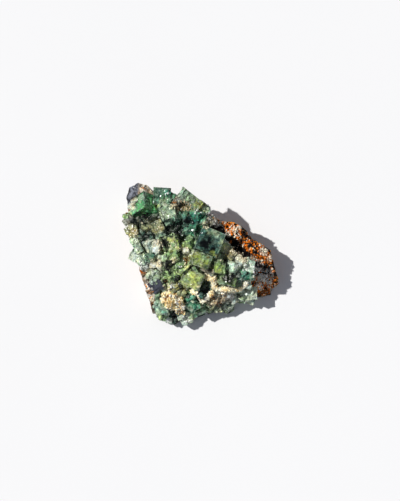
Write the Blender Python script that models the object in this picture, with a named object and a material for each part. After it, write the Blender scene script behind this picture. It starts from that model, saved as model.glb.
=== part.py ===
"""Green fluorite crystals on a lump of iron-stained rock, as a loose hand specimen.

The rock is a broken block with a flat underside. A crust of fluorite cubes, grown together,
covers its top and hangs over its edges. A cream druse fills two hollows in the crust, and one
dark grey cube of galena sits in it. Lengths below are in millimetres, with +Z up and the origin
under the middle of the specimen, at table height.
"""

import math

import bmesh
import bpy
import numpy as np
from mathutils import Matrix, Vector

MM = 0.001

# Driving heights
ROCK_HEIGHT = 20.5  # top of the rock under the middle of the crust
CRUST_THICKNESS = 3.2  # the massive fluorite that the cubes stand on
FRONT_FALL = 10.5  # how far the rock's top drops towards the front
LIP_FALL = 7.0  # how much further it drops along the front edge
LIP_START, LIP_WIDTH = 22.0, 9.0  # where that drop begins, measured towards the front
LEAST_HEIGHT = 3.2  # the rock is nowhere thinner than this
FLANK_FALL = 8.5  # how far the bare right flank drops towards its far end
RIM_ROUNDING = 2.0  # the rock's upper edge
BASE_INSET = 0.86  # share of the outline that the flat underside covers
CONTACT_GAP = 0.3  # clearance between minerals that touch

# The bare right flank begins along a line through this point, facing this way
FLANK_START = (6.0, 20.0)
FLANK_FACING = (0.874, 0.485)

# The bare knob of rock at the upper left
KNOB_CENTRE = (-34.5, 34.5)
KNOB_HEIGHT, KNOB_RADIUS = 3.0, 6.0

# The low tail of the crust at the lower right
TAIL_CENTRE = (27.0, -21.0)
TAIL_DEPTH, TAIL_RADIUS = 4.6, 8.0

# Outlines seen from above, anticlockwise
ROCK_OUTLINE = (
    (43.1, -16.4), (42.2, -10.0), (40.5, -5.0), (38.6, 2.4), (33.8, 5.8), (28.4, 9.0), (24.3, 14.8),
    (18.5, 18.0), (11.3, 19.0), (6.4, 21.4), (1.0, 25.0), (-6.0, 30.0), (-14.0, 31.5), (-24.0, 32.0),
    (-26.4, 35.6), (-29.5, 38.4), (-35.4, 39.5), (-39.8, 36.4), (-41.0, 31.0), (-40.0, 24.0),
    (-38.0, 16.0), (-36.0, 6.0), (-34.6, -3.0), (-33.3, -9.0), (-29.9, -20.5), (-28.5, -27.2),
    (-26.3, -32.8), (-18.0, -34.6), (-8.0, -35.0), (0.0, -30.0), (10.0, -28.4), (22.0, -24.4),
    (31.0, -23.9), (39.2, -22.4), (39.6, -19.2),
)
CRUST_OUTLINE = (
    (28.6, -21.8), (28.0, -14.0), (28.8, -6.6), (26.4, -2.8), (21.8, -1.4), (17.0, 3.2), (12.4, 8.0),
    (8.4, 12.0), (5.8, 16.4), (4.0, 21.0), (0.8, 26.4), (-8.5, 32.5), (-14.5, 31.5), (-23.5, 33.0), (-30.0, 31.0),
    (-35.5, 27.0), (-39.0, 21.0), (-38.4, 14.0), (-36.6, 6.0), (-36.0, -1.0), (-31.0, -8.0),
    (-27.4, -15.0), (-25.0, -21.0), (-25.0, -29.0), (-23.5, -33.0), (-12.0, -36.0), (-6.0, -34.5),
    (-1.5, -31.0), (10.0, -29.8), (18.0, -26.4), (27.5, -24.6),
)
DRUSE_PATCH_OUTLINE = (
    (-22.8, -21.0), (-20.4, -19.5), (-15.6, -20.4), (-12.8, -21.2), (-9.4, -22.0), (-7.6, -24.6),
    (-7.2, -28.4), (-8.0, -31.2), (-9.8, -33.2), (-11.4, -31.4), (-14.8, -31.6), (-16.8, -29.4),
    (-19.6, -27.0), (-22.2, -25.2),
)
DRUSE_VEIN_OUTLINE = (
    (1.4, -10.4), (5.4, -10.2), (9.4, -10.9), (9.8, -14.4), (8.8, -16.4), (12.0, -17.0), (17.0, -17.4),
    (20.4, -17.8), (22.0, -14.8), (24.4, -13.2), (26.6, -14.2), (26.4, -17.0), (23.4, -19.6),
    (21.0, -20.7), (16.0, -20.4), (10.0, -19.8), (8.4, -20.0), (4.8, -23.4), (1.4, -26.8),
    (-1.0, -25.2), (-2.8, -22.8), (-5.2, -21.6), (-6.4, -19.6), (-4.4, -18.0), (-1.2, -19.4),
    (-0.6, -22.0), (0.8, -23.6), (3.6, -21.4), (6.2, -18.4), (5.8, -15.4), (4.6, -13.4), (2.4, -12.8),
)

# How a cube stands before it is turned: on a face, on an edge or on a corner
FLAT, EDGE_UP, CORNER_UP = "flat", "edge up", "corner up"

# Cubes and blocks that stand out of the crust. In each row: x, y, edge or three sides, height above
# the crust, habit, heading, lean, lean towards
CUBES = (
    # upper left: the large emerald cube on its corner, and the teal cube beside it
    (-30.7, 26.9, 10.8, 9.6, CORNER_UP, 95, 5, 290),
    (-21.3, 31.6, 9.8, 3.6, FLAT, -3, 8, 80),
    (-20.0, 26.4, 6.6, 4.8, FLAT, -28, 20, 250),
    (-16.8, 31.6, 5.2, 3.0, FLAT, -32, 14, 60),
    (-35.2, 29.0, 4.6, 2.4, EDGE_UP, 34, 16, 200),
    # upper right: the pale block whose corner makes the top of the outline
    (-5.8, 30.3, (13.4, 6.6, 5.2), 10.4, FLAT, -38, 18, 322),
    (-1.4, 26.8, (8.0, 6.8, 8.0), 5.0, FLAT, -36, 14, 320),
    (-12.2, 30.0, (4.4, 5.2, 6.0), 5.6, FLAT, -38, 14, 230),
    (2.4, 24.8, 4.6, 3.0, FLAT, 18, 18, 20),
    (-14.4, 27.0, 4.8, 4.2, EDGE_UP, 40, 10, 250),
    # dark teal knot under it
    (-2.0, 21.6, 7.2, 7.4, CORNER_UP, 30, 8, 40),
    (1.2, 18.2, 6.4, 6.4, CORNER_UP, 75, 12, 330),
    (-6.4, 19.0, 5.6, 4.8, FLAT, 22, 18, 200),
    (-8.8, 22.0, 5.4, 5.0, EDGE_UP, -20, 10, 120),
    (-4.6, 14.6, 5.0, 5.2, FLAT, -10, 20, 120),
    (-8.4, 12.8, 4.2, 4.4, EDGE_UP, 30, 14, 60),
    (5.6, 18.6, 4.8, 4.0, FLAT, 35, 20, 40),
    # mint knobs in the upper middle
    (-17.4, 22.6, 8.0, 6.2, FLAT, 15, 14, 100),
    (-14.4, 19.4, 6.0, 6.4, CORNER_UP, 10, 8, 10),
    (-21.0, 22.8, 5.6, 4.6, EDGE_UP, -25, 8, 180),
    # dark left corner
    (-38.7, 18.4, (6.2, 5.4, 5.6), 3.0, FLAT, 38, 16, 190),
    (-40.6, 21.0, 3.6, 1.8, FLAT, 20, 12, 160),
    (-36.0, 17.2, 5.4, 3.4, CORNER_UP, 55, 15, 240),
    (-33.0, 19.2, 5.0, 2.8, EDGE_UP, -35, 20, 260),
    # olive blocks on the left
    (-23.3, 16.2, 7.0, 5.8, FLAT, 24, 14, 250),
    (-30.2, 14.8, 5.6, 4.4, CORNER_UP, 5, 12, 200),
    (-36.7, 12.8, 6.2, 3.8, FLAT, 28, 20, 170),
    (-32.6, 11.0, 4.8, 2.4, EDGE_UP, 62, 15, 180),
    (-29.4, 10.2, (6.4, 4.0, 5.0), 3.2, FLAT, 8, 14, 260),
    (-22.0, 11.6, (5.2, 2.6, 4.4), 4.2, FLAT, 20, 16, 290),
    # pale mint slabs along the left edge
    (-34.5, 5.6, (9.8, 4.6, 6.0), 4.6, FLAT, -63, 14, 190),
    (-35.4, -0.2, (6.2, 6.0, 6.0), 3.6, FLAT, -28, 18, 230),
    (-28.4, 5.2, 6.8, 4.6, CORNER_UP, 42, 10, 150),
    (-31.6, -2.2, 5.6, 3.4, EDGE_UP, -60, 12, 220),
    (-27.8, -0.8, 5.4, 3.4, FLAT, 12, 18, 280),
    (-23.4, 4.8, (4.4, 7.6, 6.0), 4.2, FLAT, -10, 14, 200),
    (-20.9, 5.4, (7.8, 1.2, 6.0), 5.0, FLAT, -65, 6, 20),
    (-24.6, -4.8, (6.6, 3.4, 5.0), 3.4, FLAT, 6, 14, 260),
    # yellow-green block in the middle left
    (-15.1, 6.7, (7.4, 9.2, 9.0), 6.2, FLAT, 6, 9, 260),
    (-6.7, 6.4, 6.6, 6.0, CORNER_UP, 60, 8, 30),
    (-14.8, -0.6, 6.4, 4.6, FLAT, 24, 14, 230),
    (-7.8, 2.2, 3.8, 5.2, EDGE_UP, 20, 14, 250),
    # the large dark cube in the middle
    (4.6, 6.8, 13.6, 9.4, FLAT, -22, 9, 50),
    (13.0, 5.2, 4.8, 4.0, FLAT, -46, 16, 50),
    # yellow-green steps in front of it
    (0.4, -1.8, (11.2, 8.4, 9.0), 7.0, FLAT, -21, 12, 262),
    (-8.0, -7.0, (7.8, 1.4, 6.0), 5.8, FLAT, 40, 6, 300),
    (-10.8, -4.6, (6.0, 5.0, 6.0), 3.6, FLAT, 40, 16, 120),
    (-3.2, -7.4, (2.4, 4.0, 5.0), 5.0, FLAT, 30, 12, 260),
    (4.4, -7.6, (8.0, 4.4, 6.0), 4.6, FLAT, -30, 18, 240),
    (10.8, -6.4, 6.4, 5.6, FLAT, -8, 14, 240),
    (9.8, -1.6, 4.6, 5.2, FLAT, 4, 14, 300),
    # pale block in front of the middle, and its neighbours
    (-4.3, -12.3, (11.6, 10.0, 10.0), 7.0, FLAT, -22, 12, 250),
    (-16.2, -12.4, 4.8, 4.6, CORNER_UP, 35, 12, 210),
    (-13.6, -17.6, 4.2, 3.4, EDGE_UP, 40, 10, 240),
    (-25.2, -9.8, 5.6, 4.0, CORNER_UP, 12, 10, 180),
    (-19.6, -9.6, 5.4, 2.6, FLAT, 12, 18, 240),
    (-30.4, -6.4, 4.6, 2.2, EDGE_UP, 20, 16, 200),
    # right shoulder, pale and frosted
    (18.0, -6.6, 6.8, 6.0, CORNER_UP, 12, 8, 60),
    (16.0, 0.6, 5.6, 4.0, FLAT, -44, 14, 40),
    (21.0, -3.0, (5.6, 4.2, 5.0), 2.8, FLAT, -40, 14, 40),
    (26.2, -6.2, (6.0, 6.8, 7.0), 3.6, FLAT, -12, 12, 30),
    (24.6, -11.2, (9.4, 4.4, 6.0), 3.6, FLAT, -4, 12, 300),
    (17.2, -13.6, 6.6, 3.4, FLAT, -14, 12, 200),
    # lower right, down to the pale tail
    (27.8, -20.0, (5.6, 10.0, 7.0), 2.2, FLAT, 5, 16, 350),
    (22.6, -23.0, 5.8, 2.6, CORNER_UP, 65, 12, 280),
    (26.6, -25.0, (6.8, 3.6, 5.0), 1.2, FLAT, -22, 12, 280),
    (18.4, -24.4, 4.6, 3.4, FLAT, 28, 16, 270),
    (15.2, -28.6, 5.6, 2.0, CORNER_UP, 25, 12, 290),
    # lower edge
    (12.4, -23.4, 4.6, 3.2, EDGE_UP, 30, 12, 250),
    (7.4, -24.6, 4.8, 3.6, FLAT, 55, 16, 250),
    (9.6, -29.4, 4.8, 1.4, FLAT, 12, 16, 260),
    (4.4, -30.0, 4.6, 1.6, CORNER_UP, 88, 14, 270),
    (-3.6, -27.2, 6.8, 4.8, FLAT, 38, 14, 240),
    (-0.4, -31.2, 4.6, 1.6, EDGE_UP, 18, 14, 280),
    (2.6, -20.0, (9.0, 4.4, 5.0), 2.0, FLAT, 48, 8, 130),
    # lower left, under the cream patch
    (-21.6, -29.6, 6.8, 4.4, FLAT, 22, 16, 200),
    (-21.0, -33.6, 4.8, 1.8, EDGE_UP, 68, 12, 250),
    (-14.5, -34.0, 6.2, 2.2, CORNER_UP, 30, 12, 260),
    (-8.2, -34.9, 6.4, 1.6, FLAT, 15, 14, 290),
    (-4.6, -33.4, 4.4, 1.6, FLAT, 40, 16, 300),
    (-17.6, -36.0, 3.4, 0.8, FLAT, -10, 12, 270),
)

# Small cubes fill the crust between the large ones
FILL_SPACING = 6.0
FILL_EDGES = (3.0, 4.6)
FILL_RISE = (0.8, 2.0)
FILL_SEED = 11

# Blades of the cream druse
BLADE_SPACING = 3.0
BLADE_EDGES = (2.2, 3.6)
BLADE_FLATTEN = 0.55
DRUSE_RISE = 2.0
DRUSE_SEED = 23

GALENA_EDGE = 7.2
GALENA_CENTRE = (-24.0, -16.4)
GALENA_RISE = 2.4
GALENA_HEADING = -52.0
GALENA_LEAN, GALENA_TOWARDS = 12.0, 215.0

ROCK_POINTS, ROCK_TOP_RINGS, ROCK_SIDE_RINGS, ROCK_RINGS = 72, 7, 4, 14
CRUST_POINTS, CRUST_TOP_RINGS, CRUST_RINGS = 44, 8, 11
DROP_BELOW = 1.2  # how far a cutter starts below the table
WELD = 0.002  # points closer than this are joined after the Booleans


def smooth(t):
    """0 to 1, easing in and out."""
    t = np.clip(t, 0.0, 1.0)
    return t * t * (3.0 - 2.0 * t)


def lumps(x, y):
    """Broad unevenness of a broken rock face, within about 1.5 either way."""
    return (
        0.8 * np.sin(0.23 * x + 1.1) * np.cos(0.27 * y - 0.4)
        + 0.5 * np.sin(0.47 * x - 0.31 * y + 2.0)
        + 0.3 * np.cos(0.71 * y + 0.38 * x)
    )


def rock_top(x, y):
    """Height of the rock's top: level under the crust, falling to the front and along the bare flank."""
    to_front = 0.2 * x - y
    past_flank = (x - FLANK_START[0]) * FLANK_FACING[0] + (y - FLANK_START[1]) * FLANK_FACING[1]
    from_knob = ((x - KNOB_CENTRE[0]) ** 2 + (y - KNOB_CENTRE[1]) ** 2) / KNOB_RADIUS**2
    from_tail = ((x - TAIL_CENTRE[0]) ** 2 + (y - TAIL_CENTRE[1]) ** 2) / TAIL_RADIUS**2
    top = (
        ROCK_HEIGHT
        + KNOB_HEIGHT * np.exp(-from_knob)
        - FRONT_FALL * smooth((-4.0 - y) / 32.0)
        - TAIL_DEPTH * np.exp(-from_tail)
        - LIP_FALL * smooth((to_front - LIP_START) / LIP_WIDTH)
        - FLANK_FALL * smooth((12.0 - y) / 24.0) * smooth(past_flank / 15.0)
        + lumps(x, y)
    )
    return np.maximum(top, LEAST_HEIGHT)


def crust_top(x, y):
    """Height of the massive fluorite under the cubes."""
    return rock_top(x, y) + CRUST_THICKNESS


def spaced(outline, count):
    """Evenly spaced points along a closed outline."""
    corners = np.array(outline + outline[:1])
    steps = np.linalg.norm(np.diff(corners, axis=0), axis=1)
    travelled = np.concatenate(([0.0], np.cumsum(steps)))
    stations = np.linspace(0.0, travelled[-1], count, endpoint=False)
    xs = np.interp(stations, travelled, corners[:, 0])
    ys = np.interp(stations, travelled, corners[:, 1])
    return list(zip(xs, ys))


def finish(name, bm, collection):
    """An object made from bm, whose points are in millimetres."""
    bmesh.ops.scale(bm, vec=(MM, MM, MM), verts=bm.verts)
    mesh = bpy.data.meshes.new(name)
    bm.to_mesh(mesh)
    bm.free()
    obj = bpy.data.objects.new(name, mesh)
    collection.objects.link(obj)
    return obj


def make_guide(obj):
    """Keeps a cutter or a growth piece out of the model."""
    obj.hide_render = True
    obj.display_type = "WIRE"
    return obj


def lump(name, outline, points, rings, section, collection):
    """A closed lump of rings around the origin, at the places that section(ring, x, y) gives."""
    bm = bmesh.new()
    rim = spaced(outline, points)
    rows = [[bm.verts.new(section(ring, x, y)) for x, y in rim] for ring in range(1, rings)]
    for upper, lower in zip(rows, rows[1:]):
        for at in range(points):
            bm.faces.new((upper[at - 1], lower[at - 1], lower[at], upper[at]))
    top = bm.verts.new(section(0, *rim[0]))
    bottom = bm.verts.new(section(rings, *rim[0]))
    for at in range(points):
        bm.faces.new((top, rows[0][at - 1], rows[0][at]))
        bm.faces.new((bottom, rows[-1][at], rows[-1][at - 1]))
    bmesh.ops.triangulate(bm, faces=bm.faces)
    return finish(name, bm, collection)


def rock_section(ring, x, y):
    """Rings of the rock: across the top, down the side, then over the flat underside."""
    around = math.atan2(y, x)
    base_share = BASE_INSET * (1.0 + 0.03 * math.sin(5.0 * around + 0.8))
    past_rim = ring - ROCK_TOP_RINGS
    if past_rim <= 0:
        share = ring / ROCK_TOP_RINGS
        z = float(rock_top(share * x, share * y)) - RIM_ROUNDING * smooth((share - 0.84) / 0.16)
    elif past_rim <= ROCK_SIDE_RINGS:
        down = past_rim / ROCK_SIDE_RINGS
        share = 1.0 - (1.0 - base_share) * down**1.6
        share += 0.012 * math.sin(9.0 * down + 4.0 * around) * math.sin(math.pi * down)
        z = (float(rock_top(x, y)) - RIM_ROUNDING) * (1.0 - down)
    else:
        share = base_share * (ROCK_RINGS - ring) / (ROCK_RINGS - ROCK_TOP_RINGS - ROCK_SIDE_RINGS)
        z = 0.0
    return Vector((share * x, share * y, z))


def grown(source, name, collection):
    """A cutter: a copy of a lump, moved outwards by the contact gap and down through the table."""
    bm = bmesh.new()
    bm.from_mesh(source.data)
    bmesh.ops.scale(bm, vec=(1.0 / MM, 1.0 / MM, 1.0 / MM), verts=bm.verts)
    bm.normal_update()
    places = [vert.co + vert.normal * CONTACT_GAP for vert in bm.verts]
    for vert, place in zip(bm.verts, places):
        vert.co = place if vert.co.z > 0.01 else Vector((place.x, place.y, -DROP_BELOW))
    return make_guide(finish(name, bm, collection))


def crust_section(ring, x, y):
    """Rings of the massive crust: its top follows the rock and its rim is rounded."""
    if ring <= CRUST_TOP_RINGS:
        share = ring / CRUST_TOP_RINGS
        z = float(crust_top(share * x, share * y)) - 2.2 * smooth((share - 0.8) / 0.2)
    else:
        share = 0.97 * (CRUST_RINGS - ring) / (CRUST_RINGS - CRUST_TOP_RINGS)
        z = float(crust_top(share * x, share * y)) - 2.0 * CRUST_THICKNESS
    return Vector((share * x, share * y, z))


def turned(habit, heading, lean, towards):
    """Rotation of a cube that stands in a habit, is turned to a heading and leans over.

    The heading is that of the cube's first side, or of one edge that falls from the top corner.
    """
    if habit == CORNER_UP:
        stand = Vector((1, 1, 1)).rotation_difference(Vector((0, 0, 1))).to_matrix()
        down_edge = stand @ Vector((-1, 0, 0))
        heading -= math.degrees(math.atan2(down_edge.y, down_edge.x))
    elif habit == EDGE_UP:
        stand = Matrix.Rotation(math.radians(45.0), 3, "X")
    else:
        stand = Matrix.Identity(3)
    over = Vector((-math.sin(math.radians(towards)), math.cos(math.radians(towards)), 0.0))
    return (
        Matrix.Rotation(math.radians(lean), 3, over)
        @ Matrix.Rotation(math.radians(heading), 3, "Z")
        @ stand
    )


def half_height(turn, sides):
    """Half the height that a turned box of these sides takes."""
    return sum(abs(turn[2][axis]) * sides[axis] for axis in range(3)) / 2.0


def box(name, centre, sides, turn, collection):
    """A box of these sides, turned and set at centre."""
    bm = bmesh.new()
    bmesh.ops.create_cube(bm, size=1.0)
    bmesh.ops.scale(bm, vec=sides, verts=bm.verts)
    bmesh.ops.rotate(bm, cent=(0, 0, 0), matrix=turn, verts=bm.verts)
    bmesh.ops.translate(bm, vec=centre, verts=bm.verts)
    return finish(name, bm, collection)


def inside(outline, x, y):
    """True if a point lies inside an outline."""
    found = False
    for (x0, y0), (x1, y1) in zip(outline, outline[1:] + outline[:1]):
        if (y0 > y) != (y1 > y) and x < (x1 - x0) * (y - y0) / (y1 - y0) + x0:
            found = not found
    return found


def grid_in(outline, spacing, generator):
    """Points on an uneven grid inside an outline."""
    low, high = np.min(outline, axis=0), np.max(outline, axis=0)
    for row, y in enumerate(np.arange(low[1], high[1], spacing)):
        for x in np.arange(low[0] + (row % 2) * spacing / 2.0, high[0], spacing):
            shift = generator.uniform(-0.3, 0.3, 2) * spacing
            if inside(outline, x + shift[0], y + shift[1]):
                yield x + shift[0], y + shift[1]


def prism(name, outline, grow, collection):
    """An upright prism over an outline, as a flat curve extruded past the whole specimen."""
    curve = bpy.data.curves.new(name, "CURVE")
    curve.dimensions = "2D"
    curve.fill_mode = "BOTH"
    curve.extrude = 40.0 * MM
    curve.offset = grow * MM
    spline = curve.splines.new("POLY")
    spline.points.add(len(outline) - 1)
    for point, (x, y) in zip(spline.points, outline):
        point.co = (x * MM, y * MM, 0.0, 1.0)
    spline.use_cyclic_u = True
    source = bpy.data.objects.new(name, curve)
    collection.objects.link(source)
    bpy.context.view_layer.update()
    evaluated = source.evaluated_get(bpy.context.evaluated_depsgraph_get())
    mesh = bpy.data.meshes.new_from_object(evaluated)
    bm = bmesh.new()
    bm.from_mesh(mesh)
    bmesh.ops.remove_doubles(bm, verts=bm.verts, dist=0.01 * MM)
    bmesh.ops.recalc_face_normals(bm, faces=bm.faces)
    bm.to_mesh(mesh)
    bm.free()
    solid = bpy.data.objects.new(name + "_solid", mesh)
    solid.matrix_world = source.matrix_world
    collection.objects.link(solid)
    bpy.data.objects.remove(source)
    return solid


def combine(obj, operation, other):
    """Adds a Boolean of another object, or of a whole collection."""
    modifier = obj.modifiers.new(operation.title(), "BOOLEAN")
    modifier.operation = operation
    modifier.solver = "EXACT"
    if isinstance(other, bpy.types.Collection):
        modifier.operand_type = "COLLECTION"
        modifier.collection = other
    else:
        modifier.object = other
    return obj


def settle(obj):
    """Applies the modifiers, welds the slivers that the Booleans leave and keeps the largest body."""
    bpy.context.view_layer.update()
    evaluated = obj.evaluated_get(bpy.context.evaluated_depsgraph_get())
    mesh = bpy.data.meshes.new_from_object(evaluated)
    obj.modifiers.clear()
    bm = bmesh.new()
    bm.from_mesh(mesh)
    bmesh.ops.remove_doubles(bm, verts=bm.verts, dist=WELD * MM)
    bmesh.ops.dissolve_degenerate(bm, edges=bm.edges, dist=WELD * MM)
    bmesh.ops.triangulate(bm, faces=bm.faces)
    close_pinches(bm)
    keep_largest(bm)
    bm.to_mesh(mesh)
    bm.free()
    obj.data = mesh
    return obj


def close_pinches(bm):
    """Collapses the edges that more than two faces share, where two surfaces just touch."""
    for _ in range(8):
        pinched = [edge for edge in bm.edges if len(edge.link_faces) > 2]
        if not pinched:
            return
        bmesh.ops.collapse(bm, edges=pinched)
        bmesh.ops.dissolve_degenerate(bm, edges=bm.edges, dist=WELD * MM)
        bmesh.ops.triangulate(bm, faces=bm.faces)


def keep_largest(bm):
    """Deletes the small loose bodies of a mesh."""
    left, bodies = set(bm.verts), []
    while left:
        body, edge = set(), [left.pop()]
        while edge:
            vert = edge.pop()
            body.add(vert)
            for link in vert.link_edges:
                other = link.other_vert(vert)
                if other in left:
                    left.remove(other)
                    edge.append(other)
        bodies.append(body)
    largest = max(bodies, key=len)
    bmesh.ops.delete(bm, geom=[v for v in bm.verts if v not in largest], context="VERTS")


def painted(obj, name, colour, roughness, metallic=0.0, transmission=0.0):
    """Gives an object its own material."""
    material = bpy.data.materials.new(name)
    material.use_nodes = True
    shader = material.node_tree.nodes["Principled BSDF"]
    shader.inputs["Base Color"].default_value = (*colour, 1.0)
    shader.inputs["Roughness"].default_value = roughness
    shader.inputs["Metallic"].default_value = metallic
    shader.inputs["Transmission Weight"].default_value = transmission
    obj.data.materials.clear()
    obj.data.materials.append(material)
    return obj


def stand_block(name, x, y, sides, rise, turn, collection):
    """A block whose highest corner stands rise above the crust at x, y."""
    z = float(crust_top(x, y)) + rise - half_height(turn, sides)
    return box(name, (x, y, z), sides, turn, collection)


def covered(x, y):
    """True where a named cube or a druse would hide a small cube."""
    under_cube = any(math.hypot(x - cube[0], y - cube[1]) < 0.45 * np.max(cube[2]) for cube in CUBES)
    return under_cube or inside(DRUSE_PATCH_OUTLINE, x, y) or inside(DRUSE_VEIN_OUTLINE, x, y)


def grow_cubes(collection):
    """The named cubes and the small ones between them, as growth pieces for the crust."""
    for number, (x, y, edge, rise, habit, heading, lean, towards) in enumerate(CUBES):
        sides = edge if isinstance(edge, tuple) else (edge,) * 3
        turn = turned(habit, heading, lean, towards)
        make_guide(stand_block(f"cube_{number:02d}", x, y, sides, rise, turn, collection))
    generator = np.random.default_rng(FILL_SEED)
    for number, (x, y) in enumerate(grid_in(CRUST_OUTLINE, FILL_SPACING, generator)):
        edge, rise = generator.uniform(*FILL_EDGES), generator.uniform(*FILL_RISE)
        heading, lean, towards = generator.uniform((0, 8, 0), (90, 38, 360))
        if covered(x, y):
            continue
        turn = turned(FLAT, heading, lean, towards)
        make_guide(stand_block(f"small_cube_{number:03d}", x, y, (edge,) * 3, rise, turn, collection))


def grow_blades(outline, generator, collection):
    """Flattened blades standing over a druse's outline."""
    for number, (x, y) in enumerate(grid_in(outline, BLADE_SPACING, generator)):
        edge = generator.uniform(*BLADE_EDGES)
        sides = (edge, edge, edge * BLADE_FLATTEN)
        heading, lean, towards = generator.uniform((0, 30, 0), (90, 75, 360))
        turn = turned(FLAT, heading, lean, towards)
        rise = DRUSE_RISE + generator.uniform(0.2, 1.4)
        z = float(crust_top(x, y)) + rise - half_height(turn, sides)
        make_guide(box(f"{collection.name}_{number:03d}", (x, y, z), sides, turn, collection))


def druse_body(name, outline, collection):
    """The mass of a druse: a prism over its outline whose top follows the crust."""
    bm = bmesh.new()
    low, high = np.min(outline, axis=0), np.max(outline, axis=0)
    middle, size = (low + high) / 2.0, high - low
    bmesh.ops.create_grid(bm, x_segments=14, y_segments=12, size=0.5)
    bmesh.ops.scale(bm, vec=(size[0] + 4.0, size[1] + 4.0, 1.0), verts=bm.verts)
    bmesh.ops.translate(bm, vec=(middle[0], middle[1], 0.0), verts=bm.verts)
    for vert in bm.verts:
        vert.co.z = float(crust_top(vert.co.x, vert.co.y)) + 0.6 * DRUSE_RISE
    made = bmesh.ops.extrude_face_region(bm, geom=bm.faces[:])
    for vert in (part for part in made["geom"] if isinstance(part, bmesh.types.BMVert)):
        vert.co.z = -DROP_BELOW
    bmesh.ops.recalc_face_normals(bm, faces=bm.faces)
    return finish(name, bm, collection)


def new_collection(name):
    collection = bpy.data.collections.new(name)
    bpy.context.scene.collection.children.link(collection)
    return collection


def make_druse(name, outline, rock_cutter, generator, parts, guides):
    """One body of cream druse: its mass and blades, kept inside its outline and clear of the rock."""
    blades = new_collection(name + "_blades")
    grow_blades(outline, generator, blades)
    druse = druse_body(name, outline, parts)
    combine(druse, "UNION", blades)
    combine(druse, "INTERSECT", make_guide(prism(name + "_outline", outline, 0.0, guides)))
    combine(druse, "DIFFERENCE", rock_cutter)
    settle(druse)
    return painted(druse, name, (0.78, 0.66, 0.44), 0.55)


def main():
    for obj in list(bpy.data.objects):
        bpy.data.objects.remove(obj)
    parts = new_collection("fluorite_specimen")
    guides = new_collection("cutters")
    growth = new_collection("growth")

    rock = lump("matrix_rock", ROCK_OUTLINE, ROCK_POINTS, ROCK_RINGS, rock_section, parts)
    rock_cutter = grown(rock, "rock_cutter", guides)

    turn = turned(FLAT, GALENA_HEADING, GALENA_LEAN, GALENA_TOWARDS)
    sides = (GALENA_EDGE,) * 3
    x, y = GALENA_CENTRE
    z = float(crust_top(x, y)) + GALENA_RISE - half_height(turn, sides)
    galena = box("galena_cube", (x, y, z), sides, turn, parts)
    hollow_sides = (GALENA_EDGE + 2.0 * CONTACT_GAP,) * 3
    galena_hollow = make_guide(box("galena_hollow", (x, y, z), hollow_sides, turn, guides))
    combine(galena, "DIFFERENCE", rock_cutter)

    generator = np.random.default_rng(DRUSE_SEED)
    patch = make_druse("cream_druse_patch", DRUSE_PATCH_OUTLINE, rock_cutter, generator, parts, guides)
    make_druse("cream_druse_vein", DRUSE_VEIN_OUTLINE, rock_cutter, generator, parts, guides)
    combine(patch, "DIFFERENCE", galena_hollow)
    settle(patch)
    settle(galena)

    crust = lump("fluorite_crust", CRUST_OUTLINE, CRUST_POINTS, CRUST_RINGS, crust_section, parts)
    grow_cubes(growth)
    combine(crust, "UNION", growth)
    combine(crust, "DIFFERENCE", rock_cutter)
    under_table = ((0.0, 0.0, CONTACT_GAP - 10.0), (120.0, 120.0, 20.0))
    table = make_guide(box("table", *under_table, Matrix.Identity(3), guides))
    combine(crust, "DIFFERENCE", table)
    for name, outline in (("patch", DRUSE_PATCH_OUTLINE), ("vein", DRUSE_VEIN_OUTLINE)):
        hollow = make_guide(prism(name + "_hollow", outline, CONTACT_GAP, guides))
        combine(crust, "DIFFERENCE", hollow)
    combine(crust, "DIFFERENCE", galena_hollow)
    settle(crust)

    painted(rock, "iron_stained_rock", (0.33, 0.16, 0.07), 0.85)
    painted(galena, "galena", (0.13, 0.14, 0.17), 0.35, metallic=0.7)
    painted(crust, "green_fluorite", (0.13, 0.36, 0.24), 0.12, transmission=0.75)


main()
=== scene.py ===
"""Green fluorite crystals on iron-stained rock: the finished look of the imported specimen.

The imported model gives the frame. Every mineral of it is replaced here by a finer surface of the
same shape: a rough rock, a dark crust, stepped cubes in thirteen tones, cream druse, one galena cube,
and the small crystals and grains between them. Lengths in the tables and in the surfaces are
millimetres; a mesh gets them in metres.
"""

import itertools
import math

import bpy
import numpy as np
from bpy.props import FloatProperty, FloatVectorProperty, IntProperty, PointerProperty
from mathutils import Matrix, Vector


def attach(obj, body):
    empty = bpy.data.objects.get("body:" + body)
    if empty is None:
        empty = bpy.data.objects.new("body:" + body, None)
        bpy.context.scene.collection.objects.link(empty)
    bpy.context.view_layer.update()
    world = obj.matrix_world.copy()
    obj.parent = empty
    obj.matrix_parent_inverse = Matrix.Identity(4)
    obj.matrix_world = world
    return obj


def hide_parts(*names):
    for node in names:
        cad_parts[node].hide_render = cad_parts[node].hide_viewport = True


bl_info = {
    "name": "Fluorite specimen",
    "version": (1, 0, 0),
    "blender": (4, 5, 0),
    "location": "View3D > Sidebar > Fluorite",
    "description": "Grows the rock, crystals, druse and grains of a green fluorite specimen",
    "category": "Add Mesh",
}

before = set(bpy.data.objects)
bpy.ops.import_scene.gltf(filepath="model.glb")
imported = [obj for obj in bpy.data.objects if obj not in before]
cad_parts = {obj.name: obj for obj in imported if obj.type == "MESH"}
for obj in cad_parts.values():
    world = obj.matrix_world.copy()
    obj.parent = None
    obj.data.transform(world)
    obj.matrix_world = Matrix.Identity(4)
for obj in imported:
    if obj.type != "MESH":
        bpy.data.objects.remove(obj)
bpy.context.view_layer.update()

MM = 0.001
TAU = 2.0 * math.pi
LATTICE = 32

# The specimen's own measures

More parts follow.
